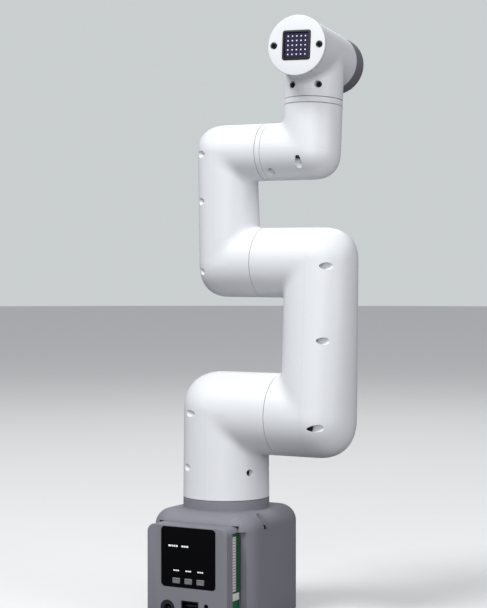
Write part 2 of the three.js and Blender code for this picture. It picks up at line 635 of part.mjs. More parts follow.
function buildEnd() {
  const end = frameAt([0, 0, WRIST_RISE]);
  link5.add(end);
  addPiece(end, "end_body", buildEndBody(), "white");
  addPiece(end, "end_cap", buildEndCap(), "white");
  const inside = MATRIX.half - MATRIX.frame;
  const frameBlock = matrixPlate(MATRIX.half, MATRIX.corner, MATRIX.front, MATRIX.back);
  const frameMouth = matrixPlate(inside, 1, MATRIX.front - 1, MATRIX.back - 1.6);
  addPiece(end, "matrix_frame", frameBlock.subtract(frameMouth), "black");
  const key = matrixPlate(inside - FIT_GAP, 0.8, MATRIX.front + 0.9, MATRIX.back - 2.6);
  addPiece(end, "matrix_button", key, "glass");
  [-1, 1].forEach((side, index) => {
    const capFloor = END_CAP.front + 2.4;
    const capScrew = screwSolid("y", capFloor, -1, [side * CAP_SCREW_X, 0]);
    addPiece(end, `cap_screw_${index + 1}`, capScrew, "steel");
    const frontScrew = screwSolid("y", FRONT_SCREW.floor, -1, [side * FRONT_SCREW.x, FRONT_SCREW.z]);
    addPiece(end, `end_screw_${index + 1}`, frontScrew, "steel");
  });
  addPiece(end, "flange_servo", servoSolid("y", SERVO.small, SEAM.flange, 1, [0, 0]), "black");

  const ringTop = SEAM.roll + RING_WIDTH - SEAM_GAP / 2;
  const ring = ringSolid("z", WRIST.topDepth, SEAM.roll + SEAM_GAP / 2, ringTop, [0, 0]);
  addPiece(link5, "roll_ring", ring, "white");
  const wallFace = ringTop + SEAM_GAP + MOUTH_WALL;
  addPiece(link5, "roll_horn", hornSolid("z", SERVO.small, SEAM.roll, 1, [0, 0], wallFace), "aluminium");

  const flangeFace = SEAM.flange + SEAM_GAP / 2;
  let flange = rod("y", WRIST.topDepth, flangeFace, FLANGE_REACH, [0, 0], SEGMENTS);
  flange = flange.add(rod("y", SERVO.small.hub, SEAM.flange - SEAM_GAP / 2 - 0.3, flangeFace + 1, [0, 0], 20));
  for (let turn = 0; turn < 4; turn += 1) {
    const angle = (turn + 0.5) * Math.PI / 2;
    const place = [FLANGE_HOLES.circle * Math.cos(angle), FLANGE_HOLES.circle * Math.sin(angle)];
    flange = flange.subtract(rod("y", FLANGE_HOLES.radius, FLANGE_REACH - 5, FLANGE_REACH + 1, place, 10));
  }
  addPiece(end, "tool_flange", flange, "darkGrey");
}

buildShoulder();
buildUpperArm();
buildForearm();
buildWrist();
buildEnd();

export default base;
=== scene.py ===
"""Looks of the desktop robot arm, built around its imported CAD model.

Shapes are drawn in millimetres in the frame of the link they belong to, then put in place.
Every visible CAD solid is replaced by a smooth piece of the same size with finer detail.
"""

import json
import math

import bmesh
import bpy
from mathutils import Matrix, Vector


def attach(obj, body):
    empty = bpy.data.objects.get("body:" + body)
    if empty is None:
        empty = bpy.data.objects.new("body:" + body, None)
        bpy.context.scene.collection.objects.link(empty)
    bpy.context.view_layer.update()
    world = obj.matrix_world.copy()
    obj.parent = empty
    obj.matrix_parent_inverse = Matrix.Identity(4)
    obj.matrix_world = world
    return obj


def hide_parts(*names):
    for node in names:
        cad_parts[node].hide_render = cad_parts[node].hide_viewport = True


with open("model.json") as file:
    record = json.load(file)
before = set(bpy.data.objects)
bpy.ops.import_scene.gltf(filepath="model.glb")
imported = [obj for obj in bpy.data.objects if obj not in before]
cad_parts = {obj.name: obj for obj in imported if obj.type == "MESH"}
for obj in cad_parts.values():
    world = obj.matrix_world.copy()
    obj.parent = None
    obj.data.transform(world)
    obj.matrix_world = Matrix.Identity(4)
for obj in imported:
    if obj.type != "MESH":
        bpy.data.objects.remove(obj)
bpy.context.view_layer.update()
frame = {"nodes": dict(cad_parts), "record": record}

# ---------- dimensions in millimetres: the CAD part's, with finer gaps and rounder corners ----------
WALL = 2.2                      # thickness of the moulded shells
SEAM_GAP = 0.5                  # gap between two links
SEAM_DEPTH = 0.8                # how deep the groove round a joint is
SPLIT_GAP = 0.06                # hairline where two halves of a shell meet
MOUTH_WALL = 2.5                # end wall of a link at a joint
CORNER_POWER = 2.5              # 2 is a ball corner, larger is squarer

SHOULDER_HEIGHT = 159           # second joint's axis above the table
UPPER_ARM = 118.7               # second joint's axis to third
FOREARM = 86.5                  # third joint's axis to fourth
WRIST_RISE = 74.4               # fourth joint's axis to sixth
FLANGE_REACH = 50.8             # fifth joint's axis to the flange's face
REST = {"shoulder": 2.1, "elbow": -5.4, "wrist": 7.6, "roll": 6.8}      # degrees

COLUMN = {"x": 0, "half_width": 34.2, "bottom_depth": 34.2, "top_depth": 32.2}
UPPER = {"x": 82.3, "half_width": 28.9, "bottom_depth": 32.2, "top_depth": 27.3}
FORE = {"x": 1.5, "half_width": 23.7, "bottom_depth": 27.3, "top_depth": 22.3}
WRIST = {"x": 76.4, "half_width": 22.6, "bottom_depth": 22.3, "top_depth": 22.6}
END = {"radius": 22.6, "front": -37, "back": 33.4}
SEAM = {"waist": 92, "shoulder": 50.7, "elbow": 33.1, "wrist": 37.4, "roll": 34.4, "flange": 33.8}
RING_WIDTH = 4.7
MOUTH_RADIUS = {"large": 10, "medium": 8.2, "small": 6.6}
HUB_RADIUS = 5.6

BASE = {"half": 45.8, "corner": 18, "top": 84, "shoulder": 13, "wall": 2.6, "foot": 0.8}
COLLAR = {"overlap": 6, "bore_overlap": 12, "edge": 0.3}
CASE = {"half": 35.6, "front": -59.2, "back": -38, "bottom": 2, "top": 75.6, "corner": 6.5, "wall": 2.4}
CASE_EDGE = 0.4
BEZEL = {"front": -61.6, "back": -59.6, "edge": 0.6}
GLASS = {"x": 1.3, "z": 51.1, "width": 48.2, "height": 46.2, "corner": 3.2, "thickness": 1.5}
GLASS_INSET = {"front": 0.1, "edge": 0.2}
BUTTON = {"width": 6.5, "height": 4.3, "pitch": 10.75, "x": 1.5, "z": 33, "proud": 0.5, "edge": 0.45}
BUTTON_DISH = {"half_width": 2.2, "half_height": 1.1, "depth": 0.18, "edge": 0.15}
MARK = {"proud": 0.03, "sunk": 0.1, "edge": 0.01}
TEXT_BARS = {"z": 59.7, "height": 1.3}
TEXT_BAR_PLACES = [(-16.3, 2.2), (-13.5, 1.2), (-11.7, 1.6), (-9.5, 1.5), (-4.6, 1.9), (-2.1, 1.3),
                   (-0.2, 1.6)]
KEY_BARS = {"z": 40.9, "height": 1.0}
KEY_BAR_PLACES = [(-2.6, 1.5), (-0.7, 1.2), (0.9, 1.5)]
SIDE_SLOT = {"front": -52.6, "back": -40.1, "bottom": 8, "top": 71, "depth": 4}
HEADER = {"front": -46.6, "back": -40.4, "bottom": 25.2, "top": 68.3,
          "inner": 2.3, "outer": 0.3, "edge": 0.2}
PIN = {"count": 20, "offset": 1.3, "hole": 0.75, "depth": 1.75}
CONTACTS = {"near": 0.5, "far": 0.8, "half_width": 2, "margin": 0.5}
LABEL = {"recess": 0.5, "thickness": 1.2, "front": -52.2, "bottom": 26, "gap": 0.2, "edge": 0.1}
LABEL_MARK = {"front": -51.4, "back": -47.6, "below": 0.4, "above": 0.1,
              "sunk": 0.2, "proud": 0.05, "edge": 0.02}
STICKER = {"front": -51.8, "back": -41.5, "bottom": 19.2, "top": 24.8}
JACK = {"x": -17.2, "z": 11, "radius": 6.2, "bore": 3.2, "pin": 1, "depth": 12, "floor": 2}
PORT = {"x": 2.8, "z": 14.2, "width": 15, "height": 7.2, "wall": 0.7, "depth": 11, "floor": 2, "edge": 0.4}
TONGUE = {"half_width": 4.6, "half_height": 0.8, "front": 2.2, "back": 1.8, "edge": 0.15}
SENSOR = {"x": 17.3, "z": 15, "radius": 2, "depth": 1.2}
LENS = {"gap": 0.15, "thickness": 0.6, "sunk": 0.05, "edge": 0.2}
FIT_GAP = 0.3                   # gap round a piece in its opening
SOCKET_EDGE = 0.3

POCKET_RADIUS = 2.8
BOSS_RADIUS = 3.7
SCREW = {"head": 2.1, "height": 2, "shank": 1.2, "reach": 6, "socket": 1.15}
LINK_SCREW = {**SCREW, "head": 2.5, "height": 4.2}
BASE_SCREW = {"head": 3, "height": 2.8, "shank": 1.4, "reach": 11, "socket": 1.6}
SCREW_SEAT = 0.2                # gap under a screw's head
SCREW_EDGE = 0.25
SOCKET_SHARE = 0.6              # how much of a screw's head its socket goes through
LINK_POCKET_FLOOR = 4           # from a link's middle plane to the floor of its pockets
GRIP = {"link": 12, "inward": 5, "wrist": 10, "end": 2}     # how far a boss goes past a pocket's floor

# Screws of a link, each given by its height and by how far in from the tube's side it is.
SHOULDER_SCREWS = [(0, 4.6), (-42.8, 6.5)]
UPPER_ARM_SCREWS = [(-7.6, 4.2), (58.5, 4.8), (115.4, 4.8)]
FOREARM_SCREWS = [(-5.6, 5.5), (49.4, 4.8), (86.5, 4.4)]
# Screws from the other side of the turret, each given by its pocket's floor, its y and its height.
SHOULDER_INWARD_SCREWS = [(24, 15.6, -45.5)]
# Screws under the wrist, each given by its x and its y.
WRIST_SCREWS = [(WRIST["x"] - 1.4, 19), (49.2, 13.8)]
WRIST_SCREW_FLOOR = -6
WRIST_RIB = {"half": 2.5, "height": 4}

BASE_SCREWS = [(-42.3, -19), (42.3, -19), (20, 42.3), (-20, 42.3)]
BASE_POCKET = {"floor": 71, "radius": 4, "boss": 5.8, "below": 3, "hole_gap": 0.5, "hole_depth": 13}
NEST_WALL = 2
NEST_GAP = 0.1                  # gap round the controller case in the front of the base
END_CAP = {"radius": 22.9, "front": -41.5, "back": -38.8, "edge": 0.5, "pocket": 2.2, "hole": 1.3}
MATRIX = {"half": 11.1, "corner": 1.8, "front": -42.2, "back": -32, "frame": 1.4, "edge": 0.4}
MATRIX_WELL = {"corner": 1, "floor": 1.6}
MATRIX_KEY = {"corner": 0.8, "recess": 0.9, "back": 2.6, "edge": 0.3}
LED = {"count": 5, "pitch": 3.45, "size": 1.0, "proud": 0.12, "sunk": 0.1, "edge": 0.05}
LED_WELL = 0.35                 # depth of the well round a light, and the gap beside the light
CAP_SCREW_X = 18.2
FRONT_SCREW = {"x": 10.4, "z": -26.2, "floor": -15.6}
FLANGE = {"edge": 0.6, "hub_overlap": 0.3}
FLANGE_HOLES = {"count": 4, "circle": 14, "radius": 1.5, "depth": 5}
FLANGE_GROOVE = {"outer": 9.6, "inner": 9, "depth": 0.4, "edge": 0.05}

# ---------- fineness of the shapes ----------
SIDES = 96                      # sides of a large round surface
POCKET_SIDES = 48
SMALL_SIDES = 32
FLANGE_HOLE_SIDES = 24
HOLE_SIDES = 16                 # sides of a screw hole
HEXAGON = 6
CORNER_STEPS = 8
SHOULDER_STEPS = 10
EDGE_STEPS = 4
BEVEL = {"segments": 3, "profile": 0.5}
PAST = 1                        # how far a cutting tool runs past a face
FAR_PAST = 5
MOUTH_REACH = 4                 # how far the tool of a joint's hole goes each way
CLEAR_OF_LINK = 60
OVERRUN = 6                     # how far a link's open end runs past its seam before it is cut
STUB_MARGIN = 2
LINK_CREASE = 5                 # reach of the rounding of an inner crease
WRIST_CREASE = 10
END_CREASE = 3
SMALL_EDGE = 0.35               # rounding of a moulded edge
DISC_EDGE = 0.05
VOXEL = 1.0                     # grain of the mesh that rounds a link's inner crease
SKIN_PASSES = 4                 # smoothing of the whole skin
CREASE_PASSES = 90              # further smoothing near an inner crease
SMOOTH_FACTOR = 0.5
CREASE_WEIGHT = 1.6             # above 1, so that the middle of a crease is smoothed fully
FAR = 400
SHARP = 32                      # degrees between two faces that makes the edge between them sharp
MILLIMETRE = 0.001

# ---------- the stage, in metres, but for the camera's place and lens in millimetres ----------
CAMERA = {"place": (689.0, -1204.8, 280.8), "turn": 29.2, "tilt": -1.49, "lens": 103.4,
          "sensor": 36, "clip_end": 50}
AIM = (0.03, 0, 0.25)
LIGHTS = {
    "key light": {"place": (-0.4, -1.2, 2.0), "size": 0.9, "power": 36},
    "front light": {"place": (0.9, -1.8, 0.7), "size": 1.2, "power": 11},
    "right light": {"place": (1.9, -0.4, 0.7), "size": 1.0, "power": 9},
    "back light": {"place": (-0.5, 1.5, 1.7), "size": 1.2, "power": 9},
}
FLOOR_RADIUS = 9
FLOOR_GLOW = {"colour": (0.9, 0.93, 0.95, 1), "strength": 0.2}
DIM_FLOOR = (0.16, 0.16, 0.17, 1)
SOFT_FILL = {"colour": (0.93, 0.94, 1.0, 1), "strength": 0.29}
WALL_COLOUR = (0.59, 0.62, 0.63, 1)

# ---------- textures ----------
DRIFT = {"scale": 22, "detail": 5}
FINE_DETAIL = 3
SLOW_SCALE = 60
GLOSS_SWING = 0.14              # how far the roughness goes either side of its middle
BUMP_STRENGTH = 0.6
SMALLEST_DEPTH = 0.001


# ---------- solids ----------
def to_object(name, bm):
    bmesh.ops.recalc_face_normals(bm, faces=bm.faces)
    mesh = bpy.data.meshes.new(name)
    bm.to_mesh(mesh)
    bm.free()
    obj = bpy.data.objects.new(name, mesh)
    bpy.context.scene.collection.objects.link(obj)
    return obj


def turned(axis, across, along, place):
    """A point given across and along an axis, at a place in the other two axes."""
    u = place[0] + across[0]
    v = place[1] + across[1]
    return {"x": (along, u, v), "y": (u, along, v), "z": (u, v, along)}[axis]


def lathe(profile, axis, place=(0, 0), sides=SIDES):
    """Turns a closed profile of (radius, along) points round an axis."""
    bm = bmesh.new()
    rings = []
    for radius, along in profile:
        count = sides if radius > 0 else 1
        ring = []
        for side in range(count):
            angle = 2 * math.pi * side / sides
            across = (radius * math.cos(angle), radius * math.sin(angle))
            ring.append(bm.verts.new(turned(axis, across, along, place)))
        rings.append(ring)
    closed = profile[0][0] > 0
    pairs = zip(rings, rings[1:] + rings[:1]) if closed else zip(rings, rings[1:])
    for low, high in pairs:
        for side in range(sides):
            corners = [low[side % len(low)], low[(side + 1) % len(low)]]
            corners += [high[(side + 1) % len(high)], high[side % len(high)]]
            bm.faces.new(list(dict.fromkeys(corners)))
    return to_object("lathe", bm)


def rounded_side(radius, low, high, edge):
    """The outline of a round bar's side, with both of its edges rounded."""
    steps = [math.pi / 2 * i / EDGE_STEPS for i in range(EDGE_STEPS + 1)]
    lower = [(radius - edge + edge * math.sin(a), low + edge - edge * math.cos(a)) for a in steps]
    upper = [(radius - edge + edge * math.cos(a), high - edge + edge * math.sin(a)) for a in steps]
    return lower + upper


def rod(axis, radius, start, end, place=(0, 0), sides=SIDES, edge=0):
    """A round bar with flat or slightly rounded ends."""
    low, high = sorted((start, end))
    side = rounded_side(radius, low, high, edge) if edge > 0 else [(radius, low), (radius, high)]
    return lathe([(0, low), *side, (0, high)], axis, place, sides)


def washer(axis, outer, inner, start, end, edge=SMALL_EDGE):
    """A ring with slightly rounded outer edges."""
    low, high = sorted((start, end))
    return lathe([(inner, low), *rounded_side(outer, low, high, edge), (inner, high)], axis)


def block(low, high, edge=0):
    """A box between two corners, with slightly rounded edges if edge is given."""
    bm = bmesh.new()
    bmesh.ops.create_cube(bm, size=1)
    for vert in bm.verts:
        vert.co = Vector(low[i] + (vert.co[i] + 0.5) * (high[i] - low[i]) for i in range(3))
    if edge > 0:
        bmesh.ops.bevel(bm, geom=bm.edges, offset=edge, affect="EDGES", **BEVEL)
    return to_object("block", bm)


def rounded_outline(half_width, half_height, radius, steps=CORNER_STEPS):
    """A rectangle with rounded corners, as points anticlockwise."""
    outline = []
    centres = [(1, 1), (-1, 1), (-1, -1), (1, -1)]
    for quarter, (sx, sy) in enumerate(centres):
        for i in range(steps + 1):
            angle = math.pi / 2 * (quarter + i / steps)
            x = sx * (half_width - radius) + radius * math.cos(angle)
            y = sy * (half_height - radius) + radius * math.sin(angle)
            outline.append((x, y))
    return outline


def loft(rings):
    """Joins rings of points that all have the same count, and closes both ends."""
    bm = bmesh.new()
    rows = [[bm.verts.new(point) for point in ring] for ring in rings]
    for low, high in zip(rows, rows[1:]):
        for i in range(len(low)):
            j = (i + 1) % len(low)
            bm.faces.new([low[i], low[j], high[j], high[i]])
    bm.faces.new(rows[0])
    bm.faces.new(rows[-1])
    return to_object("loft", bm)


def face_plate(x, z, width, height, corner, front, back, edge=0):
    """An upright plate with rounded corners that faces the front, with a rounded front edge."""
    rings = []
    for i in range(EDGE_STEPS + 1 if edge > 0 else 1):
        angle = math.pi / 2 * i / EDGE_STEPS
        inset = edge * (1 - math.sin(angle))
        y = front + edge * (1 - math.cos(angle))
        outline = rounded_outline(width / 2 - inset, height / 2 - inset, corner - inset)
        rings.append([(x + u, y, z + v) for u, v in outline])
    outline = rounded_outline(width / 2, height / 2, corner)
    rings.append([(x + u, back, z + v) for u, v in outline])
    return loft(rings)


def through(part):
    """The start and end of a tool that cuts right through a part, from its front to its back."""
    return part["front"] - PAST, part["back"] + PAST


def tapered_tube(spec, bottom, top, inset, tube_from, tube_to):
    """A tube along z with an even taper between bottom and top, drawn from tube_from to tube_to."""
    rings = []
    for z in (tube_from, tube_to):
        along = (z - bottom) / (top - bottom)
        depth = spec["bottom_depth"] + (spec["top_depth"] - spec["bottom_depth"]) * along - inset
        ring = []
        for side in range(SIDES):
            angle = 2 * math.pi * side / SIDES
            x = spec["x"] + (spec["half_width"] - inset) * math.cos(angle)
            ring.append((x, depth * math.sin(angle), z))
        rings.append(ring)
    return loft(rings)


def corner_ball(spec, radius, height, inset):
    """A ball whose outline in the XZ plane is squared up by CORNER_POWER."""
    bm = bmesh.new()
    bmesh.ops.create_uvsphere(bm, u_segments=SIDES, v_segments=SIDES // 2, radius=1)
    for vert in bm.verts:
        x, z, y = vert.co
        reach = math.hypot(x, z)
        angle = math.atan2(z, x)
        power = abs(math.cos(angle)) ** CORNER_POWER + abs(math.sin(angle)) ** CORNER_POWER
        outline = reach / power ** (1 / CORNER_POWER)
        vert.co = (
            spec["x"] + math.cos(angle) * outline * (spec["half_width"] - inset),
            y * (radius - inset),
            height + math.sin(angle) * outline * (radius - inset),
        )
    return to_object("corner", bm)


def bake(obj):
    """Applies an object's modifiers to its mesh."""
    depsgraph = bpy.context.evaluated_depsgraph_get()
    mesh = bpy.data.meshes.new_from_object(obj.evaluated_get(depsgraph))
    old = obj.data
    obj.modifiers.clear()
    obj.data = mesh
    bpy.data.meshes.remove(old)
    return obj


def combine(target, tool, operation):
    modifier = target.modifiers.new("combine", "BOOLEAN")
    modifier.operation = operation
    modifier.object = tool
    modifier.solver = "MANIFOLD"
    bake(target)
    bpy.data.objects.remove(tool)
    if len(target.data.polygons) == 0:
        raise ValueError(f"{operation} left nothing of {target.name}")
    return target


def join(target, *tools):
    for tool in tools:
        combine(target, tool, "UNION")
    return target


def cut(target, *tools):
    for tool in tools:
        combine(target, tool, "DIFFERENCE")
    return target


def keep(target, tool):
    return combine(target, tool, "INTERSECT")


def copy_of(obj):
    twin = obj.copy()
    twin.data = obj.data.copy()
    bpy.context.scene.collection.objects.link(twin)
    return twin


def soften(obj, creases):
    """Remeshes a solid finely and rounds its inner creases.

    Each crease is a function of a point that gives how far the point is from the crease, and the
    reach of the rounding.
    """
    remesh = obj.modifiers.new("grain", "REMESH")
    remesh.mode = "VOXEL"
    remesh.voxel_size = VOXEL
    skin = obj.modifiers.new("skin", "SMOOTH")
    skin.factor = SMOOTH_FACTOR
    skin.iterations = SKIN_PASSES
    bake(obj)
    group = obj.vertex_groups.new(name="crease")
    for vert in obj.data.vertices:
        weight = max(1 - distance(vert.co) / reach for distance, reach in creases)
        if weight > 0:
            group.add([vert.index], min(1, CREASE_WEIGHT * weight), "REPLACE")
    smooth = obj.modifiers.new("crease", "SMOOTH")
    smooth.factor = SMOOTH_FACTOR
    smooth.iterations = CREASE_PASSES
    smooth.vertex_group = "crease"
    bake(obj)
    obj.vertex_groups.clear()
    return obj


def crease_of(spec, end, tube_depth):
    """How far a point is from the inner crease between a link's tube and one of its stubs."""
    stub_side = math.copysign(1, end["stub_to"] - spec["x"])

    def distance(point):
        x = point.x - spec["x"]
        z = point.z - end["height"]
        if stub_side * x < 0 or end["tube_side"] * z < 0:
            return FAR
        across = math.hypot(x / spec["half_width"], point.y / tube_depth)
        from_tube = abs(across - 1) * min(spec["half_width"], tube_depth)
        from_stub = abs(math.hypot(point.y, z) - end["radius"])
        return max(from_tube, from_stub)

    return distance


def beyond(axis, side, at):
    """A large block that holds everything past a plane across an axis."""
    low = [-FAR, -FAR, -FAR]
    high = [FAR, FAR, FAR]
    index = "xyz".index(axis)
    if side > 0:
        low[index] = at
    else:
        high[index] = at
    return block(low, high)


# ---------- frames of the links ----------
def turn_x(degrees):
    return Matrix.Rotation(math.radians(degrees), 4, "X")


LINK1 = Matrix.Translation((0, 0, SHOULDER_HEIGHT))
LINK2 = LINK1 @ turn_x(-REST["shoulder"])
LINK3 = LINK2 @ Matrix.Translation((0, 0, UPPER_ARM)) @ turn_x(-REST["elbow"])
LINK4 = LINK3 @ Matrix.Translation((0, 0, FOREARM)) @ turn_x(-REST["wrist"])
ROLL = Matrix.Rotation(math.radians(REST["roll"]), 4, "Z")
LINK5 = LINK4 @ Matrix.Translation((WRIST["x"], 0, 0)) @ ROLL
END_FRAME = LINK5 @ Matrix.Translation((0, 0, WRIST_RISE))
BASE_FRAME = Matrix.Identity(4)


# ---------- materials ----------
def colour_drift(nodes, links, place, colour, spread):
    """A colour that drifts slowly over the surface, by spread either way."""
    drift = nodes.new("ShaderNodeTexNoise")
    drift.inputs["Scale"].default_value = DRIFT["scale"]
    drift.inputs["Detail"].default_value = DRIFT["detail"]
    links.new(place, drift.inputs["Vector"])
    ramp = nodes.new("ShaderNodeValToRGB")
    ramp.color_ramp.elements[0].color = (*[c * (1 - spread) for c in colour], 1)
    ramp.color_ramp.elements[1].color = (*[min(1, c * (1 + spread)) for c in colour], 1)
    links.new(drift.outputs["Fac"], ramp.inputs["Fac"])
    return ramp.outputs["Color"]


def uneven_gloss(nodes, links, grain, roughness):
    gloss = nodes.new("ShaderNodeMapRange")
    gloss.inputs["To Min"].default_value = roughness * (1 - GLOSS_SWING)
    gloss.inputs["To Max"].default_value = roughness * (1 + GLOSS_SWING)
    links.new(grain, gloss.inputs["Value"])
    return gloss.outputs["Result"]


def surface_bump(nodes, links, place, grain, depth, wave):
    """Fine grain of a given depth on top of slow waves."""
    slow = nodes.new("ShaderNodeTexNoise")
    slow.inputs["Scale"].default_value = SLOW_SCALE
    links.new(place, slow.inputs["Vector"])
    height = nodes.new("ShaderNodeMath")
    height.operation = "MULTIPLY_ADD"
    links.new(slow.outputs["Fac"], height.inputs[0])
    height.inputs[1].default_value = wave / max(depth, SMALLEST_DEPTH)
    links.new(grain, height.inputs[2])
    bump = nodes.new("ShaderNodeBump")
    bump.inputs["Strength"].default_value = BUMP_STRENGTH
    bump.inputs["Distance"].default_value = depth * MILLIMETRE
    links.new(height.outputs["Value"], bump.inputs["Height"])
    return bump.outputs["Normal"]


def moulded(name, colour, roughness, grain, grain_depth, spread=0.03, wave=0.02, settings=None):
    """Moulded plastic or metal: fine surface grain, slow colour drift and uneven gloss.

    grain is the size of the surface texture in millimetres, and spread how far the colour drifts.
    """
    material = bpy.data.materials.new(name)
    material.use_nodes = True
    nodes = material.node_tree.nodes
    links = material.node_tree.links
    shader = nodes["Principled BSDF"]
    place = nodes.new("ShaderNodeTexCoord").outputs["Object"]
    fine = nodes.new("ShaderNodeTexNoise")
    fine.inputs["Scale"].default_value = 1 / (grain * MILLIMETRE)
    fine.inputs["Detail"].default_value = FINE_DETAIL
    links.new(place, fine.inputs["Vector"])
    texture = fine.outputs["Fac"]
    links.new(colour_drift(nodes, links, place, colour, spread), shader.inputs["Base Color"])
    links.new(uneven_gloss(nodes, links, texture, roughness), shader.inputs["Roughness"])
    links.new(surface_bump(nodes, links, place, texture, grain_depth, wave), shader.inputs["Normal"])
    for socket, value in (settings or {}).items():
        shader.inputs[socket].default_value = value
    return material


METAL = {"Metallic": 1.0}
FINISH = {
    "white_plastic": moulded("white plastic", (0.83, 0.85, 0.875), 0.42, 0.5, 0.012, 0.012),
    "grey_plastic": moulded("grey plastic", (0.225, 0.225, 0.26), 0.62, 0.45, 0.05, 0.06),
    "flange_plastic": moulded("flange plastic", (0.17, 0.17, 0.195), 0.5, 0.5, 0.03, 0.05),
    "black_plastic": moulded("black plastic", (0.014, 0.014, 0.017), 0.5, 0.4, 0.03, 0.1),
    "display_glass": moulded("display glass", (0.002, 0.002, 0.003), 0.25, 2.0, 0.001, 0.1, 0.001,
                             settings={"Specular IOR Level": 0.12}),
    "matrix_lens": moulded("matrix lens", (0.022, 0.018, 0.05), 0.3, 1.0, 0.004, 0.2, 0.002),
    "key_plastic": moulded("key plastic", (0.2, 0.2, 0.215), 0.55, 0.4, 0.04, 0.05),
    "circuit_board": moulded("circuit board", (0.02, 0.16, 0.06), 0.42, 0.8, 0.03, 0.25),
    "header_plastic": moulded("header plastic", (0.02, 0.11, 0.04), 0.5, 0.4, 0.03, 0.2),
    "port_metal": moulded("port metal", (0.06, 0.06, 0.065), 0.35, 0.8, 0.006, 0.05, settings=METAL),
    "screw_steel": moulded("screw steel", (0.035, 0.035, 0.04), 0.35, 0.4, 0.01, 0.15, settings=METAL),
    "servo_case": moulded("servo case", (0.03, 0.03, 0.033), 0.45, 0.4, 0.03, 0.08, settings=METAL),
    "horn_alloy": moulded("horn alloy", (0.6, 0.61, 0.63), 0.32, 0.5, 0.01, 0.05, settings=METAL),
}


def lit_material(name, colour, strength):
    """A light-emitting mark: a bright lens with a slight glow."""
    material = moulded(name, colour, 0.35, 0.6, 0.005, 0.08)
    shader = material.node_tree.nodes["Principled BSDF"]
    shader.inputs["Emission Color"].default_value = (*colour, 1)
    shader.inputs["Emission Strength"].default_value = strength
    return material


LIT = {
    "display_mark": lit_material("display mark", (0.75, 0.78, 0.82), 0.5),
    "led": lit_material("led", (0.62, 0.6, 0.85), 0.55),
    "label": moulded("label", (0.72, 0.73, 0.7), 0.6, 0.4, 0.02, 0.05),
    # ink of the printed marks and the dark contacts, also used as painted shade in the gaps of the joints
    "ink_and_seam_shade": moulded("ink_and_seam_shade", (0.06, 0.06, 0.065), 0.6, 0.4, 0.02, 0.1),
}


# ---------- putting a piece in place ----------
def add_piece(obj, name, body, link_frame, slot, replaces=(), material=None):
    """Moves a finished shape from its link's frame to its place and hands it to the frame."""
    obj.name = name
    obj.data.name = name
    obj.data.transform(link_frame)
    obj.data.transform(Matrix.Scale(MILLIMETRE, 4))
    obj.data.shade_smooth()
    obj.data.set_sharp_from_angle(angle=math.radians(SHARP))
    obj.data.materials.clear()
    obj.data.materials.append(material or FINISH[slot])
    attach(obj, body)
    for node in replaces:
        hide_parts(node)
    return obj


def add_skin(obj, node, body, link_frame, slot="white_plastic"):
    """A piece that takes the place of the one CAD solid that it is named after."""
    return add_piece(obj, f"{node}_skin", body, link_frame, slot, [node])


def add_base_piece(obj, name, slot, replaces=(), material=None):
    return add_piece(obj, name, "base", BASE_FRAME, slot, replaces, material)


def screw_shape(axis, floor, sign, place, size=SCREW):
    """A socket head screw whose head rests on a pocket's floor."""
    seat = floor + sign * SCREW_SEAT
    top = floor + sign * (SCREW_SEAT + size["height"])
    head = rod(axis, size["head"], seat, top, place, SMALL_SIDES, SCREW_EDGE)
    shank_top = floor + sign * 2 * SCREW_SEAT
    shank = rod(axis, size["shank"], shank_top, floor - sign * size["reach"], place, HOLE_SIDES)
    socket_floor = top - sign * SOCKET_SHARE * size["height"]
    socket = rod(axis, size["socket"], top + sign * PAST, socket_floor, place, HEXAGON)
    return cut(join(head, shank), socket)


def add_screws(name, body, link_frame, axis, sign, floor, places, size=SCREW):
    """A row of screws that replace the CAD's screws of the same name and number."""
    for number, place in enumerate(places, 1):
        shape = screw_shape(axis, floor, sign, place, size)
        label = f"{name}_{number}_detail"
        add_piece(shape, label, body, link_frame, "screw_steel", [f"{name}_{number}"])


# ---------- shells of the links ----------
def depth_at(spec, bottom, top, height):
    along = min(1, max(0, (height - bottom) / (top - bottom)))
    return spec["bottom_depth"] + (spec["top_depth"] - spec["bottom_depth"]) * along


def mouth(axis, at, place, size):
    """The hole in a link's end wall that the hub of a joint reaches through."""
    return {"axis": axis, "at": at, "place": place, "radius": MOUTH_RADIUS[size]}


def link_end(height, radius, stub_to, tube_side, size):
    """An end of a link: a stub along x, with the link's tube above it (1) or below it (-1)."""
    return {"height": height, "radius": radius, "stub_to": stub_to, "tube_side": tube_side,
            "mouth": mouth("x", stub_to, (0, height), size)}


def tube_ends(bottom, top, ends, past):
    """Where a link's tube starts and stops: at its corner, or by past beyond an open end."""
    low = bottom if any(end["tube_side"] > 0 for end in ends) else bottom - past
    high = top if any(end["tube_side"] < 0 for end in ends) else top + past
    return low, high


def link_outside(spec, bottom, top, ends, crease_reach):
    """The outer shape of a link. Open ends run on past the seam, and are cut flat after smoothing."""
    low, high = tube_ends(bottom, top, ends, OVERRUN)
    hull = tapered_tube(spec, bottom, top, 0, low, high)
    creases = []
    for end in ends:
        side = math.copysign(1, end["stub_to"] - spec["x"])
        stub_to = end["stub_to"] + side * OVERRUN
        stub = rod("x", end["radius"], spec["x"], stub_to, (0, end["height"]))
        join(hull, stub, corner_ball(spec, end["radius"], end["height"], 0))
        tube_depth = depth_at(spec, bottom, top, end["height"])
        creases.append((crease_of(spec, end, tube_depth), crease_reach))
    soften(hull, creases)
    for end in ends:
        side = math.copysign(1, end["stub_to"] - spec["x"])
        low_x, high_x = sorted((end["stub_to"], end["stub_to"] + side * FAR))
        reach = end["radius"] + STUB_MARGIN
        cut(hull, block((low_x, -reach, end["height"] - reach), (high_x, reach, end["height"] + reach)))
    if low < bottom:
        cut(hull, beyond("z", -1, bottom))
    if high > top:
        cut(hull, beyond("z", 1, top))
    return hull


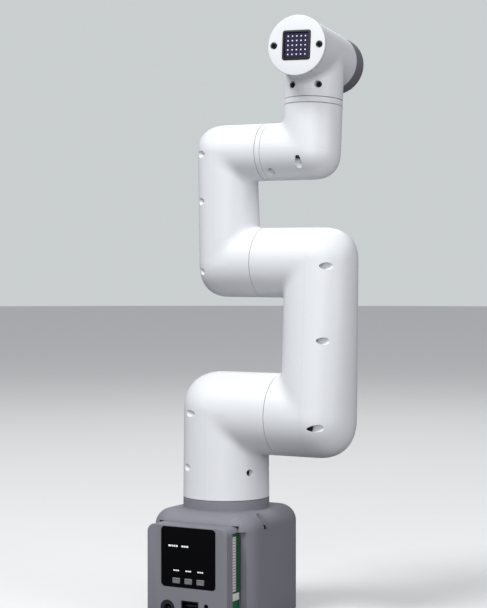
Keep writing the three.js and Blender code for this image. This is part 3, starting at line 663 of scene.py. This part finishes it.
def link_inside(spec, bottom, top, ends):
    """The hollow of a link."""
    hollow = tapered_tube(spec, bottom, top, WALL, *tube_ends(bottom, top, ends, -MOUTH_WALL))
    for end in ends:
        side = math.copysign(1, end["stub_to"] - spec["x"])
        stub_to = end["stub_to"] - side * MOUTH_WALL
        stub = rod("x", end["radius"] - WALL, spec["x"], stub_to, (0, end["height"]))
        join(hollow, stub, corner_ball(spec, end["radius"], end["height"], WALL))
    return hollow


def hollowed(hull, hollow, mouths, axis, screws):
    """Hollows a link, and leaves a boss with a pocket and a hole at each screw."""
    for screw in screws:
        sign, floor, place = screw["sign"], screw["floor"], screw["place"]
        boss_end = floor - sign * screw["grip"]
        cut(hollow, rod(axis, BOSS_RADIUS, boss_end, floor + sign * CLEAR_OF_LINK, place, SMALL_SIDES))
    cut(hull, hollow)
    for hole in mouths:
        low = hole["at"] - MOUTH_REACH
        cut(hull, rod(hole["axis"], hole["radius"], low, hole["at"] + MOUTH_REACH, hole["place"]))
    for screw in screws:
        sign, floor, place = screw["sign"], screw["floor"], screw["place"]
        hole_end = floor - sign * (screw["grip"] + PAST)
        cut(hull, rod(axis, POCKET_RADIUS, floor, floor + sign * CLEAR_OF_LINK, place, SMALL_SIDES))
        cut(hull, rod(axis, SCREW["shank"] + FIT_GAP, floor + sign * PAST, hole_end, place, HOLE_SIDES))
    return hull


def screw_pair(sign, floor, grip, across, height):
    """Two screws at equal places either side of a link's middle."""
    return [{"sign": sign, "floor": floor, "grip": GRIP[grip], "place": (side * across, height)}
            for side in (-1, 1)]


def link_screws(spec, bottom, top, cover_side, heights, inward=()):
    """Where each screw of a link is, as pairs of a front and a rear one."""
    floor = spec["x"] + cover_side * LINK_POCKET_FLOOR
    screws = []
    for height, inset in heights:
        y = depth_at(spec, bottom, top, height) - inset
        screws += screw_pair(cover_side, floor, "link", y, height)
    for inward_floor, y, height in inward:
        screws += screw_pair(-cover_side, inward_floor, "inward", y, height)
    return screws


def add_link_screws(name, body, link_frame, axis, screws, size):
    """The screws of a link. Only the front one of each pair has a CAD solid to replace."""
    for index, screw in enumerate(screws):
        number = index // 2 + 1
        front = index % 2 == 0
        shape = screw_shape(axis, screw["floor"], screw["sign"], screw["place"], size)
        label = f"{name}_{'front' if front else 'rear'}_screw_{number}"
        cad = [f"{name}_screw_{number}"] if front else []
        add_piece(shape, label, body, link_frame, "screw_steel", cad)


def add_link(name, body, link_frame, spec, bottom, top, ends, cover_side, screws, other_mouths=()):
    """A link with its two half shells and its screws."""
    hull = link_outside(spec, bottom, top, ends, LINK_CREASE)
    mouths = [*other_mouths, *[end["mouth"] for end in ends]]
    hollowed(hull, link_inside(spec, bottom, top, ends), mouths, "x", screws)
    other = copy_of(hull)
    cover = keep(hull, beyond("x", cover_side, spec["x"] + cover_side * SPLIT_GAP / 2))
    shell = keep(other, beyond("x", -cover_side, spec["x"] - cover_side * SPLIT_GAP / 2))
    add_skin(cover, f"{name}_cover", body, link_frame)
    add_skin(shell, f"{name}_shell", body, link_frame)
    add_link_screws(name, body, link_frame, "x", screws, LINK_SCREW)


def add_seam_disc(name, body, link_frame, seam, radius, bore):
    """A dark disc in the gap between two links, so that no light passes through the joint: painted shade
    in the seam.
    """
    half = SEAM_GAP / 2 - SPLIT_GAP
    disc = washer("x", radius - SEAM_DEPTH, bore, seam - half, seam + half, DISC_EDGE)
    # the disc takes the dark ink material in place of white plastic: painted shade at the bottom of the
    # seam's groove
    add_piece(disc, f"{name}_seam_disc", body, link_frame, "white_plastic", material=LIT["ink_and_seam_shade"])


def build_turret():
    bottom = SEAM["waist"] + SEAM_GAP / 2 - SHOULDER_HEIGHT
    end = link_end(0, COLUMN["top_depth"], SEAM["shoulder"] - SEAM_GAP / 2, -1, "large")
    screws = link_screws(COLUMN, bottom, 0, -1, SHOULDER_SCREWS, SHOULDER_INWARD_SCREWS)
    add_link("shoulder", "shoulder_turret", LINK1, COLUMN, bottom, 0, [end], -1, screws,
             [mouth("z", bottom, (0, 0), "large")])


def build_upper_arm():
    lower = link_end(0, UPPER["bottom_depth"], SEAM["shoulder"] + SEAM_GAP / 2, 1, "large")
    upper = link_end(UPPER_ARM, UPPER["top_depth"], SEAM["elbow"] + SEAM_GAP / 2, -1, "medium")
    screws = link_screws(UPPER, 0, UPPER_ARM, 1, UPPER_ARM_SCREWS)
    add_link("upper_arm", "upper_arm", LINK2, UPPER, 0, UPPER_ARM, [lower, upper], 1, screws)
    radius = min(COLUMN["top_depth"], UPPER["bottom_depth"])
    add_seam_disc("shoulder_joint", "upper_arm", LINK2, SEAM["shoulder"], radius, MOUTH_RADIUS["large"])


def build_forearm():
    lower = link_end(0, FORE["bottom_depth"], SEAM["elbow"] - SEAM_GAP / 2, 1, "medium")
    upper = link_end(FOREARM, FORE["top_depth"], SEAM["wrist"] - SEAM_GAP / 2, -1, "small")
    screws = link_screws(FORE, 0, FOREARM, -1, FOREARM_SCREWS)
    add_link("forearm", "forearm", LINK3, FORE, 0, FOREARM, [lower, upper], -1, screws)
    radius = min(UPPER["top_depth"], FORE["bottom_depth"])
    add_seam_disc("elbow_joint", "forearm", LINK3, SEAM["elbow"], radius, MOUTH_RADIUS["medium"])


def build_wrist():
    seam = SEAM["wrist"] + RING_WIDTH
    top = SEAM["roll"] - SEAM_GAP / 2
    end = link_end(0, WRIST["bottom_depth"], seam + SEAM_GAP / 2, 1, "small")
    screws = []
    for x, y in WRIST_SCREWS:
        for side in (-1, 1):
            place = (x, side * y)
            screws.append({"sign": -1, "floor": WRIST_SCREW_FLOOR, "grip": GRIP["wrist"], "place": place})
    hull = link_outside(WRIST, 0, top, [end], WRIST_CREASE)
    mouths = [end["mouth"], mouth("z", top, (WRIST["x"], 0), "small")]
    hollowed(hull, wrist_hollow(top, end, screws), mouths, "z", screws)
    other = copy_of(hull)
    add_skin(keep(hull, beyond("z", 1, SPLIT_GAP / 2)), "wrist_shell", "wrist", LINK4)
    add_skin(keep(other, beyond("z", -1, -SPLIT_GAP / 2)), "wrist_cover", "wrist", LINK4)
    add_link_screws("wrist", "wrist", LINK4, "z", screws, SCREW)
    ring = washer("x", WRIST["bottom_depth"], MOUTH_RADIUS["small"],
                  SEAM["wrist"] + SEAM_GAP / 2, seam - SEAM_GAP / 2)
    add_skin(ring, "wrist_ring", "wrist", LINK4)


def wrist_hollow(top, end, screws):
    """The hollow of the wrist, less the ribs that hold its screw bosses to the wall."""
    hollow = link_inside(WRIST, 0, top, [end])
    for screw in screws:
        x, y = screw["place"]
        low, high = sorted((y, math.copysign(WRIST["top_depth"], y)))
        half = WRIST_RIB["half"]
        cut(hollow, block((x - half, low, 0), (x + half, high, WRIST_RIB["height"])))
    return hollow


# ---------- end of the arm ----------
def crease_of_end(point):
    """How far a point is from the crease between the barrel and the stub below it."""
    if point.z > 0:
        return FAR
    from_barrel = abs(math.hypot(point.x, point.z) - END["radius"])
    from_stub = abs(math.hypot(point.x, point.y) - WRIST["top_depth"])
    return max(from_barrel, from_stub)


def build_end():
    bottom = SEAM["roll"] + RING_WIDTH + SEAM_GAP / 2 - WRIST_RISE
    hull = rod("y", END["radius"], END["front"] - OVERRUN, END["back"] + OVERRUN)
    join(hull, rod("z", WRIST["top_depth"], bottom - OVERRUN, 0))
    soften(hull, [(crease_of_end, END_CREASE)])
    cut(hull, beyond("y", -1, END["front"]), beyond("y", 1, END["back"]), beyond("z", -1, bottom))
    hollow = rod("y", END["radius"] - WALL, END["front"] - PAST, END["back"] - MOUTH_WALL)
    join(hollow, rod("z", WRIST["top_depth"] - WALL, bottom + MOUTH_WALL, 0))
    mouths = [mouth("z", bottom, (0, 0), "small"), mouth("y", END["back"], (0, 0), "small")]
    screws = screw_pair(-1, FRONT_SCREW["floor"], "end", FRONT_SCREW["x"], FRONT_SCREW["z"])
    hollowed(hull, hollow, mouths, "y", screws)
    add_skin(hull, "end_body", "arm_end", END_FRAME)
    places = [screw["place"] for screw in screws]
    add_screws("end_screw", "arm_end", END_FRAME, "y", -1, FRONT_SCREW["floor"], places)
    build_end_cap()
    build_matrix()
    build_roll_ring()
    build_flange()


def build_roll_ring():
    low = SEAM["roll"] + SEAM_GAP / 2
    ring = washer("z", WRIST["top_depth"], MOUTH_RADIUS["small"], low, low + RING_WIDTH - SEAM_GAP)
    add_skin(ring, "roll_ring", "arm_end", LINK5)


def build_end_cap():
    cap = rod("y", END_CAP["radius"], END_CAP["front"], END_CAP["back"], edge=END_CAP["edge"])
    size = 2 * (MATRIX["half"] + FIT_GAP)
    cut(cap, face_plate(0, 0, size, size, MATRIX["corner"] + FIT_GAP, *through(END_CAP)))
    floor = END_CAP["front"] + END_CAP["pocket"]
    places = [(-CAP_SCREW_X, 0), (CAP_SCREW_X, 0)]
    for place in places:
        cut(cap, rod("y", POCKET_RADIUS, END_CAP["front"] - PAST, floor, place, SMALL_SIDES))
        cut(cap, rod("y", END_CAP["hole"], END_CAP["front"], END_CAP["back"] + PAST, place, HOLE_SIDES))
    add_skin(cap, "end_cap", "arm_end", END_FRAME)
    add_screws("cap_screw", "arm_end", END_FRAME, "y", -1, floor, places)


def build_matrix():
    """The pressable dot-matrix button in its dark frame."""
    side = 2 * MATRIX["half"]
    front, back = MATRIX["front"], MATRIX["back"]
    rim = face_plate(0, 0, side, side, MATRIX["corner"], front, back, MATRIX["edge"])
    inner = side - 2 * MATRIX["frame"]
    well_floor = back - MATRIX_WELL["floor"]
    cut(rim, face_plate(0, 0, inner, inner, MATRIX_WELL["corner"], front - PAST, well_floor))
    add_skin(rim, "matrix_frame", "arm_end", END_FRAME, "black_plastic")
    size = inner - 2 * FIT_GAP
    build_matrix_key(size, front + MATRIX_KEY["recess"], back - MATRIX_KEY["back"])


def build_matrix_key(size, front, back):
    """The button, with a light in a shallow well at each dot."""
    key = face_plate(0, 0, size, size, MATRIX_KEY["corner"], front, back, MATRIX_KEY["edge"])
    steps = [i - (LED["count"] - 1) / 2 for i in range(LED["count"])]
    spots = [(i * LED["pitch"], j * LED["pitch"]) for i in steps for j in steps]
    well = LED["size"] / 2 + LED_WELL
    for x, z in spots:
        cut(key, block((x - well, front - PAST, z - well), (x + well, front + LED_WELL, z + well)))
    add_piece(key, "matrix_lens", "matrix_key", END_FRAME, "matrix_lens", ["matrix_button"])
    reach = LED["size"] / 2
    for number, (x, z) in enumerate(spots, 1):
        low = (x - reach, front + LED_WELL - LED["proud"], z - reach)
        high = (x + reach, front + LED_WELL + LED["sunk"], z + reach)
        led = block(low, high, LED["edge"])
        add_piece(led, f"led_{number}", "matrix_key", END_FRAME, "matrix_lens", material=LIT["led"])


def build_flange():
    face = SEAM["flange"] + SEAM_GAP / 2
    flange = rod("y", WRIST["top_depth"], face, FLANGE_REACH, edge=FLANGE["edge"])
    hub_end = SEAM["flange"] - SEAM_GAP / 2 - FLANGE["hub_overlap"]
    join(flange, rod("y", HUB_RADIUS, hub_end, face + PAST, sides=SMALL_SIDES))
    floor = FLANGE_REACH - FLANGE_HOLES["depth"]
    reach = FLANGE_HOLES["circle"]
    for turn in range(FLANGE_HOLES["count"]):
        angle = (turn + 0.5) * 2 * math.pi / FLANGE_HOLES["count"]
        place = (reach * math.cos(angle), reach * math.sin(angle))
        hole = rod("y", FLANGE_HOLES["radius"], floor, FLANGE_REACH + PAST, place, FLANGE_HOLE_SIDES)
        cut(flange, hole)
    groove_floor = FLANGE_REACH - FLANGE_GROOVE["depth"]
    cut(flange, washer("y", FLANGE_GROOVE["outer"], FLANGE_GROOVE["inner"], groove_floor,
                       FLANGE_REACH + PAST, FLANGE_GROOVE["edge"]))
    add_skin(flange, "tool_flange", "flange", END_FRAME, "flange_plastic")


# ---------- base ----------
def housing_shape(inset, foot=0):
    """A block with a rounded square plan and a rounded top edge, and a bevel of foot at its bottom."""
    half = BASE["half"] - inset
    edge = BASE["shoulder"] - inset
    corner = BASE["corner"] - inset
    top = BASE["top"] - inset
    rings = []
    if foot > 0:
        outline = rounded_outline(half - foot, half - foot, corner - foot, SHOULDER_STEPS)
        rings.append([(x, y, 0) for x, y in outline])
    floor = foot if foot > 0 else -PAST
    outline = rounded_outline(half, half, corner, SHOULDER_STEPS)
    rings.append([(x, y, floor) for x, y in outline])
    for i in range(SHOULDER_STEPS + 1):
        angle = math.pi / 2 * i / SHOULDER_STEPS
        d = edge * (1 - math.cos(angle))
        outline = rounded_outline(half - d, half - d, corner - d, SHOULDER_STEPS)
        z = top - edge + edge * math.sin(angle)
        rings.append([(x, y, z) for x, y in outline])
    return loft(rings)


def nest_block(grow, bottom):
    """The space behind the front of the base that the controller case fills, grown by grow."""
    half = CASE["half"] + grow
    front = -BASE["half"] - FAR_PAST
    return block((-half, front, bottom), (half, CASE["back"] + grow, CASE["top"] + grow))


def housing_hollow(ceiling):
    """The hollow of the base, less the bosses of its screws."""
    hollow = housing_shape(BASE["wall"])
    bore = COLUMN["half_width"] - WALL
    join(hollow, rod("z", bore, BASE["top"] - COLLAR["bore_overlap"], ceiling))
    boss_bottom = BASE_POCKET["floor"] - BASE_POCKET["below"]
    for place in BASE_SCREWS:
        cut(hollow, rod("z", BASE_POCKET["boss"], boss_bottom, BASE["top"], place, SMALL_SIDES))
    return hollow


def build_housing():
    ceiling = SEAM["waist"] - SEAM_GAP / 2 - MOUTH_WALL
    housing = housing_shape(0, foot=BASE["foot"])
    collar_top = SEAM["waist"] - SEAM_GAP / 2
    join(housing, rod("z", COLUMN["half_width"], BASE["top"] - COLLAR["overlap"], collar_top,
                      edge=COLLAR["edge"]))
    hollow = housing_hollow(ceiling)
    nest_walls = keep(nest_block(NEST_GAP + NEST_WALL, 0), copy_of(housing))
    cut(housing, hollow, rod("z", MOUTH_RADIUS["large"], ceiling - PAST, SEAM["waist"]))
    join(housing, nest_walls)
    floor = BASE_POCKET["floor"]
    hole_radius = SCREW["shank"] + BASE_POCKET["hole_gap"]
    hole_end = floor - BASE_POCKET["hole_depth"]
    for place in BASE_SCREWS:
        cut(housing, rod("z", BASE_POCKET["radius"], floor, BASE["top"] + FAR_PAST, place, POCKET_SIDES))
        cut(housing, rod("z", hole_radius, hole_end, floor + PAST, place, HOLE_SIDES))
    notch_low = (CASE["half"] - SIDE_SLOT["depth"], -BASE["half"] - FAR_PAST, SIDE_SLOT["bottom"])
    notch_high = (BASE["half"] + FAR_PAST, SIDE_SLOT["back"], SIDE_SLOT["top"])
    cut(housing, nest_block(NEST_GAP, -PAST), block(notch_low, notch_high))
    add_skin(housing, "base_housing", "base", BASE_FRAME, "grey_plastic")
    add_screws("base_screw", "base", BASE_FRAME, "z", 1, floor, BASE_SCREWS, BASE_SCREW)


def case_plate(front, back, inset=0, edge=0):
    """A plate with the outline of the controller case, or a smaller one by inset all round."""
    width = 2 * CASE["half"] - 2 * inset
    height = CASE["top"] - CASE["bottom"] - 2 * inset
    z = (CASE["top"] + CASE["bottom"]) / 2
    return face_plate(0, z, width, height, CASE["corner"] - inset, front, back, edge)


def centred_block(place, half_width, half_height, front, back, edge=0):
    """A block seen from the front, centred on an x and a z."""
    x, z = place
    return block((x - half_width, front, z - half_height), (x + half_width, back, z + half_height), edge)


def build_case():
    case = case_plate(CASE["front"], CASE["back"], edge=CASE_EDGE)
    cut(case, case_plate(*through(CASE), inset=CASE["wall"]))
    slot_low = (CASE["half"] - SIDE_SLOT["depth"], SIDE_SLOT["front"], SIDE_SLOT["bottom"])
    cut(case, block(slot_low, (CASE["half"] + PAST, CASE["back"] + PAST, SIDE_SLOT["top"])))
    add_skin(case, "controller_case", "base", BASE_FRAME, "grey_plastic")


def build_bezel():
    """The front panel, with openings for the display, the jack, the data port and the sensor."""
    plate = case_plate(BEZEL["front"], BEZEL["back"], edge=BEZEL["edge"])
    gap = 2 * FIT_GAP
    window = face_plate(GLASS["x"], GLASS["z"], GLASS["width"] + gap, GLASS["height"] + gap,
                        GLASS["corner"], *through(BEZEL))
    jack = rod("y", JACK["radius"] + FIT_GAP, *through(BEZEL), (JACK["x"], JACK["z"]))
    port = centred_block((PORT["x"], PORT["z"]), PORT["width"] / 2 + FIT_GAP,
                         PORT["height"] / 2 + FIT_GAP, *through(BEZEL))
    sensor = rod("y", SENSOR["radius"], BEZEL["front"] - PAST, BEZEL["front"] + SENSOR["depth"],
                 (SENSOR["x"], SENSOR["z"]), SMALL_SIDES)
    cut(plate, window, jack, port, sensor)
    add_skin(plate, "display_bezel", "base", BASE_FRAME, "grey_plastic")


def build_sensor():
    """The dark lens at the bottom of the small round hole in the front panel."""
    back = BEZEL["front"] + SENSOR["depth"]
    lens = rod("y", SENSOR["radius"] - LENS["gap"], back - LENS["thickness"], back - LENS["sunk"],
               (SENSOR["x"], SENSOR["z"]), SMALL_SIDES, LENS["edge"])
    add_base_piece(lens, "sensor_lens", "display_glass")


def button_places():
    return [BUTTON["x"] + side * BUTTON["pitch"] for side in (-1, 0, 1)]


def build_display():
    front = BEZEL["front"] + GLASS_INSET["front"]
    glass = face_plate(GLASS["x"], GLASS["z"], GLASS["width"], GLASS["height"], GLASS["corner"],
                       front, front + GLASS["thickness"], GLASS_INSET["edge"])
    half_width = BUTTON["width"] / 2 + FIT_GAP
    half_height = BUTTON["height"] / 2 + FIT_GAP
    behind = front + 2 * GLASS["thickness"]
    for x in button_places():
        cut(glass, centred_block((x, BUTTON["z"]), half_width, half_height, front - PAST, behind))
    add_base_piece(glass, "display_window", "display_glass", ["display_glass"])
    build_display_keys()
    build_display_marks(front)


def build_display_keys():
    """The three keys, each with a shallow dish in its face."""
    front = BEZEL["front"] - BUTTON["proud"]
    bodies = ("left_display_button", "middle_display_button", "right_display_button")
    for number, (x, body) in enumerate(zip(button_places(), bodies), 1):
        place = (x, BUTTON["z"])
        key = centred_block(place, BUTTON["width"] / 2, BUTTON["height"] / 2, front,
                            BEZEL["back"] + PAST, BUTTON["edge"])
        cut(key, centred_block(place, BUTTON_DISH["half_width"], BUTTON_DISH["half_height"],
                               front - PAST, front + BUTTON_DISH["depth"], BUTTON_DISH["edge"]))
        label = f"display_key_{number}"
        add_piece(key, label, body, BASE_FRAME, "key_plastic", [f"display_button_{number}"])


def build_display_marks(front):
    """A line of text and three key labels on the lit screen, as plain bars."""
    marks = [(x, TEXT_BARS["z"], width, TEXT_BARS["height"]) for x, width in TEXT_BAR_PLACES]
    for middle in button_places():
        for x, width in KEY_BAR_PLACES:
            marks.append((middle + x, KEY_BARS["z"], width, KEY_BARS["height"]))
    for number, (x, z, width, height) in enumerate(marks, 1):
        low = (x, front - MARK["proud"], z - height / 2)
        mark = block(low, (x + width, front + MARK["sunk"], z + height / 2), MARK["edge"])
        add_base_piece(mark, f"display_mark_{number}", "display_glass", material=LIT["display_mark"])


def build_jack():
    front = BEZEL["front"] + FIT_GAP
    back = front + JACK["depth"]
    place = (JACK["x"], JACK["z"])
    jack = rod("y", JACK["radius"], front, back, place, edge=SOCKET_EDGE)
    cut(jack, rod("y", JACK["bore"], front - PAST, back - JACK["floor"], place, POCKET_SIDES))
    join(jack, rod("y", JACK["pin"], front + PAST, back - PAST, place, SMALL_SIDES, SOCKET_EDGE))
    add_base_piece(jack, "power_jack_detail", "black_plastic", ["power_jack"])


def build_port():
    """The data port: a metal shell with a tongue inside."""
    front = BEZEL["front"] + FIT_GAP
    back = front + PORT["depth"]
    place = (PORT["x"], PORT["z"])
    half_width = PORT["width"] / 2
    half_height = PORT["height"] / 2
    shell = centred_block(place, half_width, half_height, front, back, PORT["edge"])
    cut(shell, centred_block(place, half_width - PORT["wall"], half_height - PORT["wall"],
                             front - PAST, back - PORT["floor"]))
    add_base_piece(shell, "port_socket_detail", "port_metal", ["port_socket"])
    tongue = centred_block(place, TONGUE["half_width"], TONGUE["half_height"],
                           front + TONGUE["front"], back - TONGUE["back"], TONGUE["edge"])
    add_base_piece(tongue, "port_tongue", "black_plastic")


def pin_heights():
    """The height of each pair of pins in the header."""
    pitch = (HEADER["top"] - HEADER["bottom"]) / PIN["count"]
    return [HEADER["bottom"] + (pin + 0.5) * pitch for pin in range(PIN["count"])]


def build_header():
    """The pin header in the slot on the right-hand side."""
    near = CASE["half"] - HEADER["inner"]
    header = block((near, HEADER["front"], HEADER["bottom"]),
                   (CASE["half"] - HEADER["outer"], HEADER["back"], HEADER["top"]), HEADER["edge"])
    middle = (HEADER["front"] + HEADER["back"]) / 2
    for row in (-1, 1):
        y = middle + row * PIN["offset"]
        for z in pin_heights():
            low = (CASE["half"] - PIN["depth"], y - PIN["hole"], z - PIN["hole"])
            cut(header, block(low, (CASE["half"], y + PIN["hole"], z + PIN["hole"])))
    add_base_piece(header, "pin_header_detail", "header_plastic", ["pin_header"])
    low = (near + CONTACTS["near"], middle - CONTACTS["half_width"], HEADER["bottom"] + CONTACTS["margin"])
    high = (near + CONTACTS["far"], middle + CONTACTS["half_width"], HEADER["top"] - CONTACTS["margin"])
    add_base_piece(block(low, high), "header_contacts", "port_metal", material=LIT["ink_and_seam_shade"])


def build_labels():
    """The marked strip beside the pin header and the blank sticker below it."""
    face = CASE["half"] - LABEL["recess"]
    inner = face - LABEL["thickness"]
    strip = block((inner, LABEL["front"], LABEL["bottom"]),
                  (face, HEADER["front"] - LABEL["gap"], HEADER["top"]), LABEL["edge"])
    add_base_piece(strip, "label_strip", "circuit_board", material=LIT["label"])
    for number, z in enumerate(pin_heights(), 1):
        low = (face - LABEL_MARK["sunk"], LABEL_MARK["front"], z - LABEL_MARK["below"])
        high = (face + LABEL_MARK["proud"], LABEL_MARK["back"], z + LABEL_MARK["above"])
        mark = block(low, high, LABEL_MARK["edge"])
        add_base_piece(mark, f"label_mark_{number}", "circuit_board", material=LIT["ink_and_seam_shade"])
    sticker = block((inner, STICKER["front"], STICKER["bottom"]), (face, STICKER["back"], STICKER["top"]),
                    LABEL["edge"])
    add_base_piece(sticker, "side_sticker", "circuit_board", material=LIT["label"])


def finish_carried_nodes():
    """Gives the CAD solids that stay their slot's material."""
    slots = {part["node"]: part["material_slot"] for part in frame["record"]["subparts"]}
    for name, node in frame["nodes"].items():
        node.data.materials.clear()
        node.data.materials.append(FINISH[slots[name]])


# ---------- stage ----------
def seen_or_not(tree, hidden, seen, output):
    """Shows one shader to the camera, and lights the scene with another."""
    path = tree.nodes.new("ShaderNodeLightPath")
    mix = tree.nodes.new("ShaderNodeMixShader")
    tree.links.new(path.outputs["Is Camera Ray"], mix.inputs["Fac"])
    tree.links.new(hidden, mix.inputs[1])
    tree.links.new(seen, mix.inputs[2])
    tree.links.new(mix.outputs["Shader"], tree.nodes[output].inputs["Surface"])


def floor_paint():
    """Pale paint that throws little light back up, as a table below a tall studio does."""
    paint = moulded("pale floor", (0.7, 0.705, 0.7), 0.75, 3.0, 0.05, 0.01)
    nodes = paint.node_tree.nodes
    shader = nodes["Principled BSDF"]
    shader.inputs["Emission Color"].default_value = FLOOR_GLOW["colour"]
    shader.inputs["Emission Strength"].default_value = FLOOR_GLOW["strength"]
    dim = nodes.new("ShaderNodeBsdfDiffuse")
    dim.inputs["Color"].default_value = DIM_FLOOR
    seen_or_not(paint.node_tree, dim.outputs["BSDF"], shader.outputs["BSDF"], "Material Output")
    return paint


def build_floor():
    bm = bmesh.new()
    bmesh.ops.create_circle(bm, cap_ends=True, segments=SIDES, radius=FLOOR_RADIUS)
    floor = to_object("floor", bm)
    floor.data.materials.append(floor_paint())


def build_world():
    """A pale wall behind the arm, and soft light from all round."""
    world = bpy.data.worlds.new("studio")
    bpy.context.scene.world = world
    world.use_nodes = True
    nodes = world.node_tree.nodes
    soft_fill = nodes["Background"]
    soft_fill.inputs["Color"].default_value = SOFT_FILL["colour"]
    soft_fill.inputs["Strength"].default_value = SOFT_FILL["strength"]
    pale_wall = nodes.new("ShaderNodeBackground")
    pale_wall.inputs["Color"].default_value = WALL_COLOUR
    seen_or_not(world.node_tree, soft_fill.outputs["Background"], pale_wall.outputs["Background"],
                "World Output")
    bpy.context.scene.view_settings.view_transform = "Standard"


def add_light(name, light):
    data = bpy.data.lights.new(name, "AREA")
    data.shape = "DISK"
    data.size = light["size"]
    data.energy = light["power"]
    lamp = bpy.data.objects.new(name, data)
    bpy.context.scene.collection.objects.link(lamp)
    lamp.location = light["place"]
    direction = Vector(AIM) - Vector(light["place"])
    lamp.rotation_euler = direction.to_track_quat("-Z", "Y").to_euler()


def build_camera():
    data = bpy.data.cameras.new("camera")
    data.lens = CAMERA["lens"]
    data.sensor_width = CAMERA["sensor"]
    data.clip_end = CAMERA["clip_end"]
    camera = bpy.data.objects.new("camera", data)
    bpy.context.scene.collection.objects.link(camera)
    camera.location = Vector(CAMERA["place"]) * MILLIMETRE
    tilt = math.radians(90 + CAMERA["tilt"])
    camera.rotation_euler = (tilt, 0, math.radians(CAMERA["turn"]))
    bpy.context.scene.camera = camera


build_camera()
build_floor()
build_world()
for name, light in LIGHTS.items():
    add_light(name, light)
finish_carried_nodes()
build_housing()
build_case()
build_bezel()
build_display()
build_jack()
build_port()
build_sensor()
build_header()
build_labels()
build_turret()
build_upper_arm()
build_forearm()
build_wrist()
build_end()

bpy.context.view_layer.update()
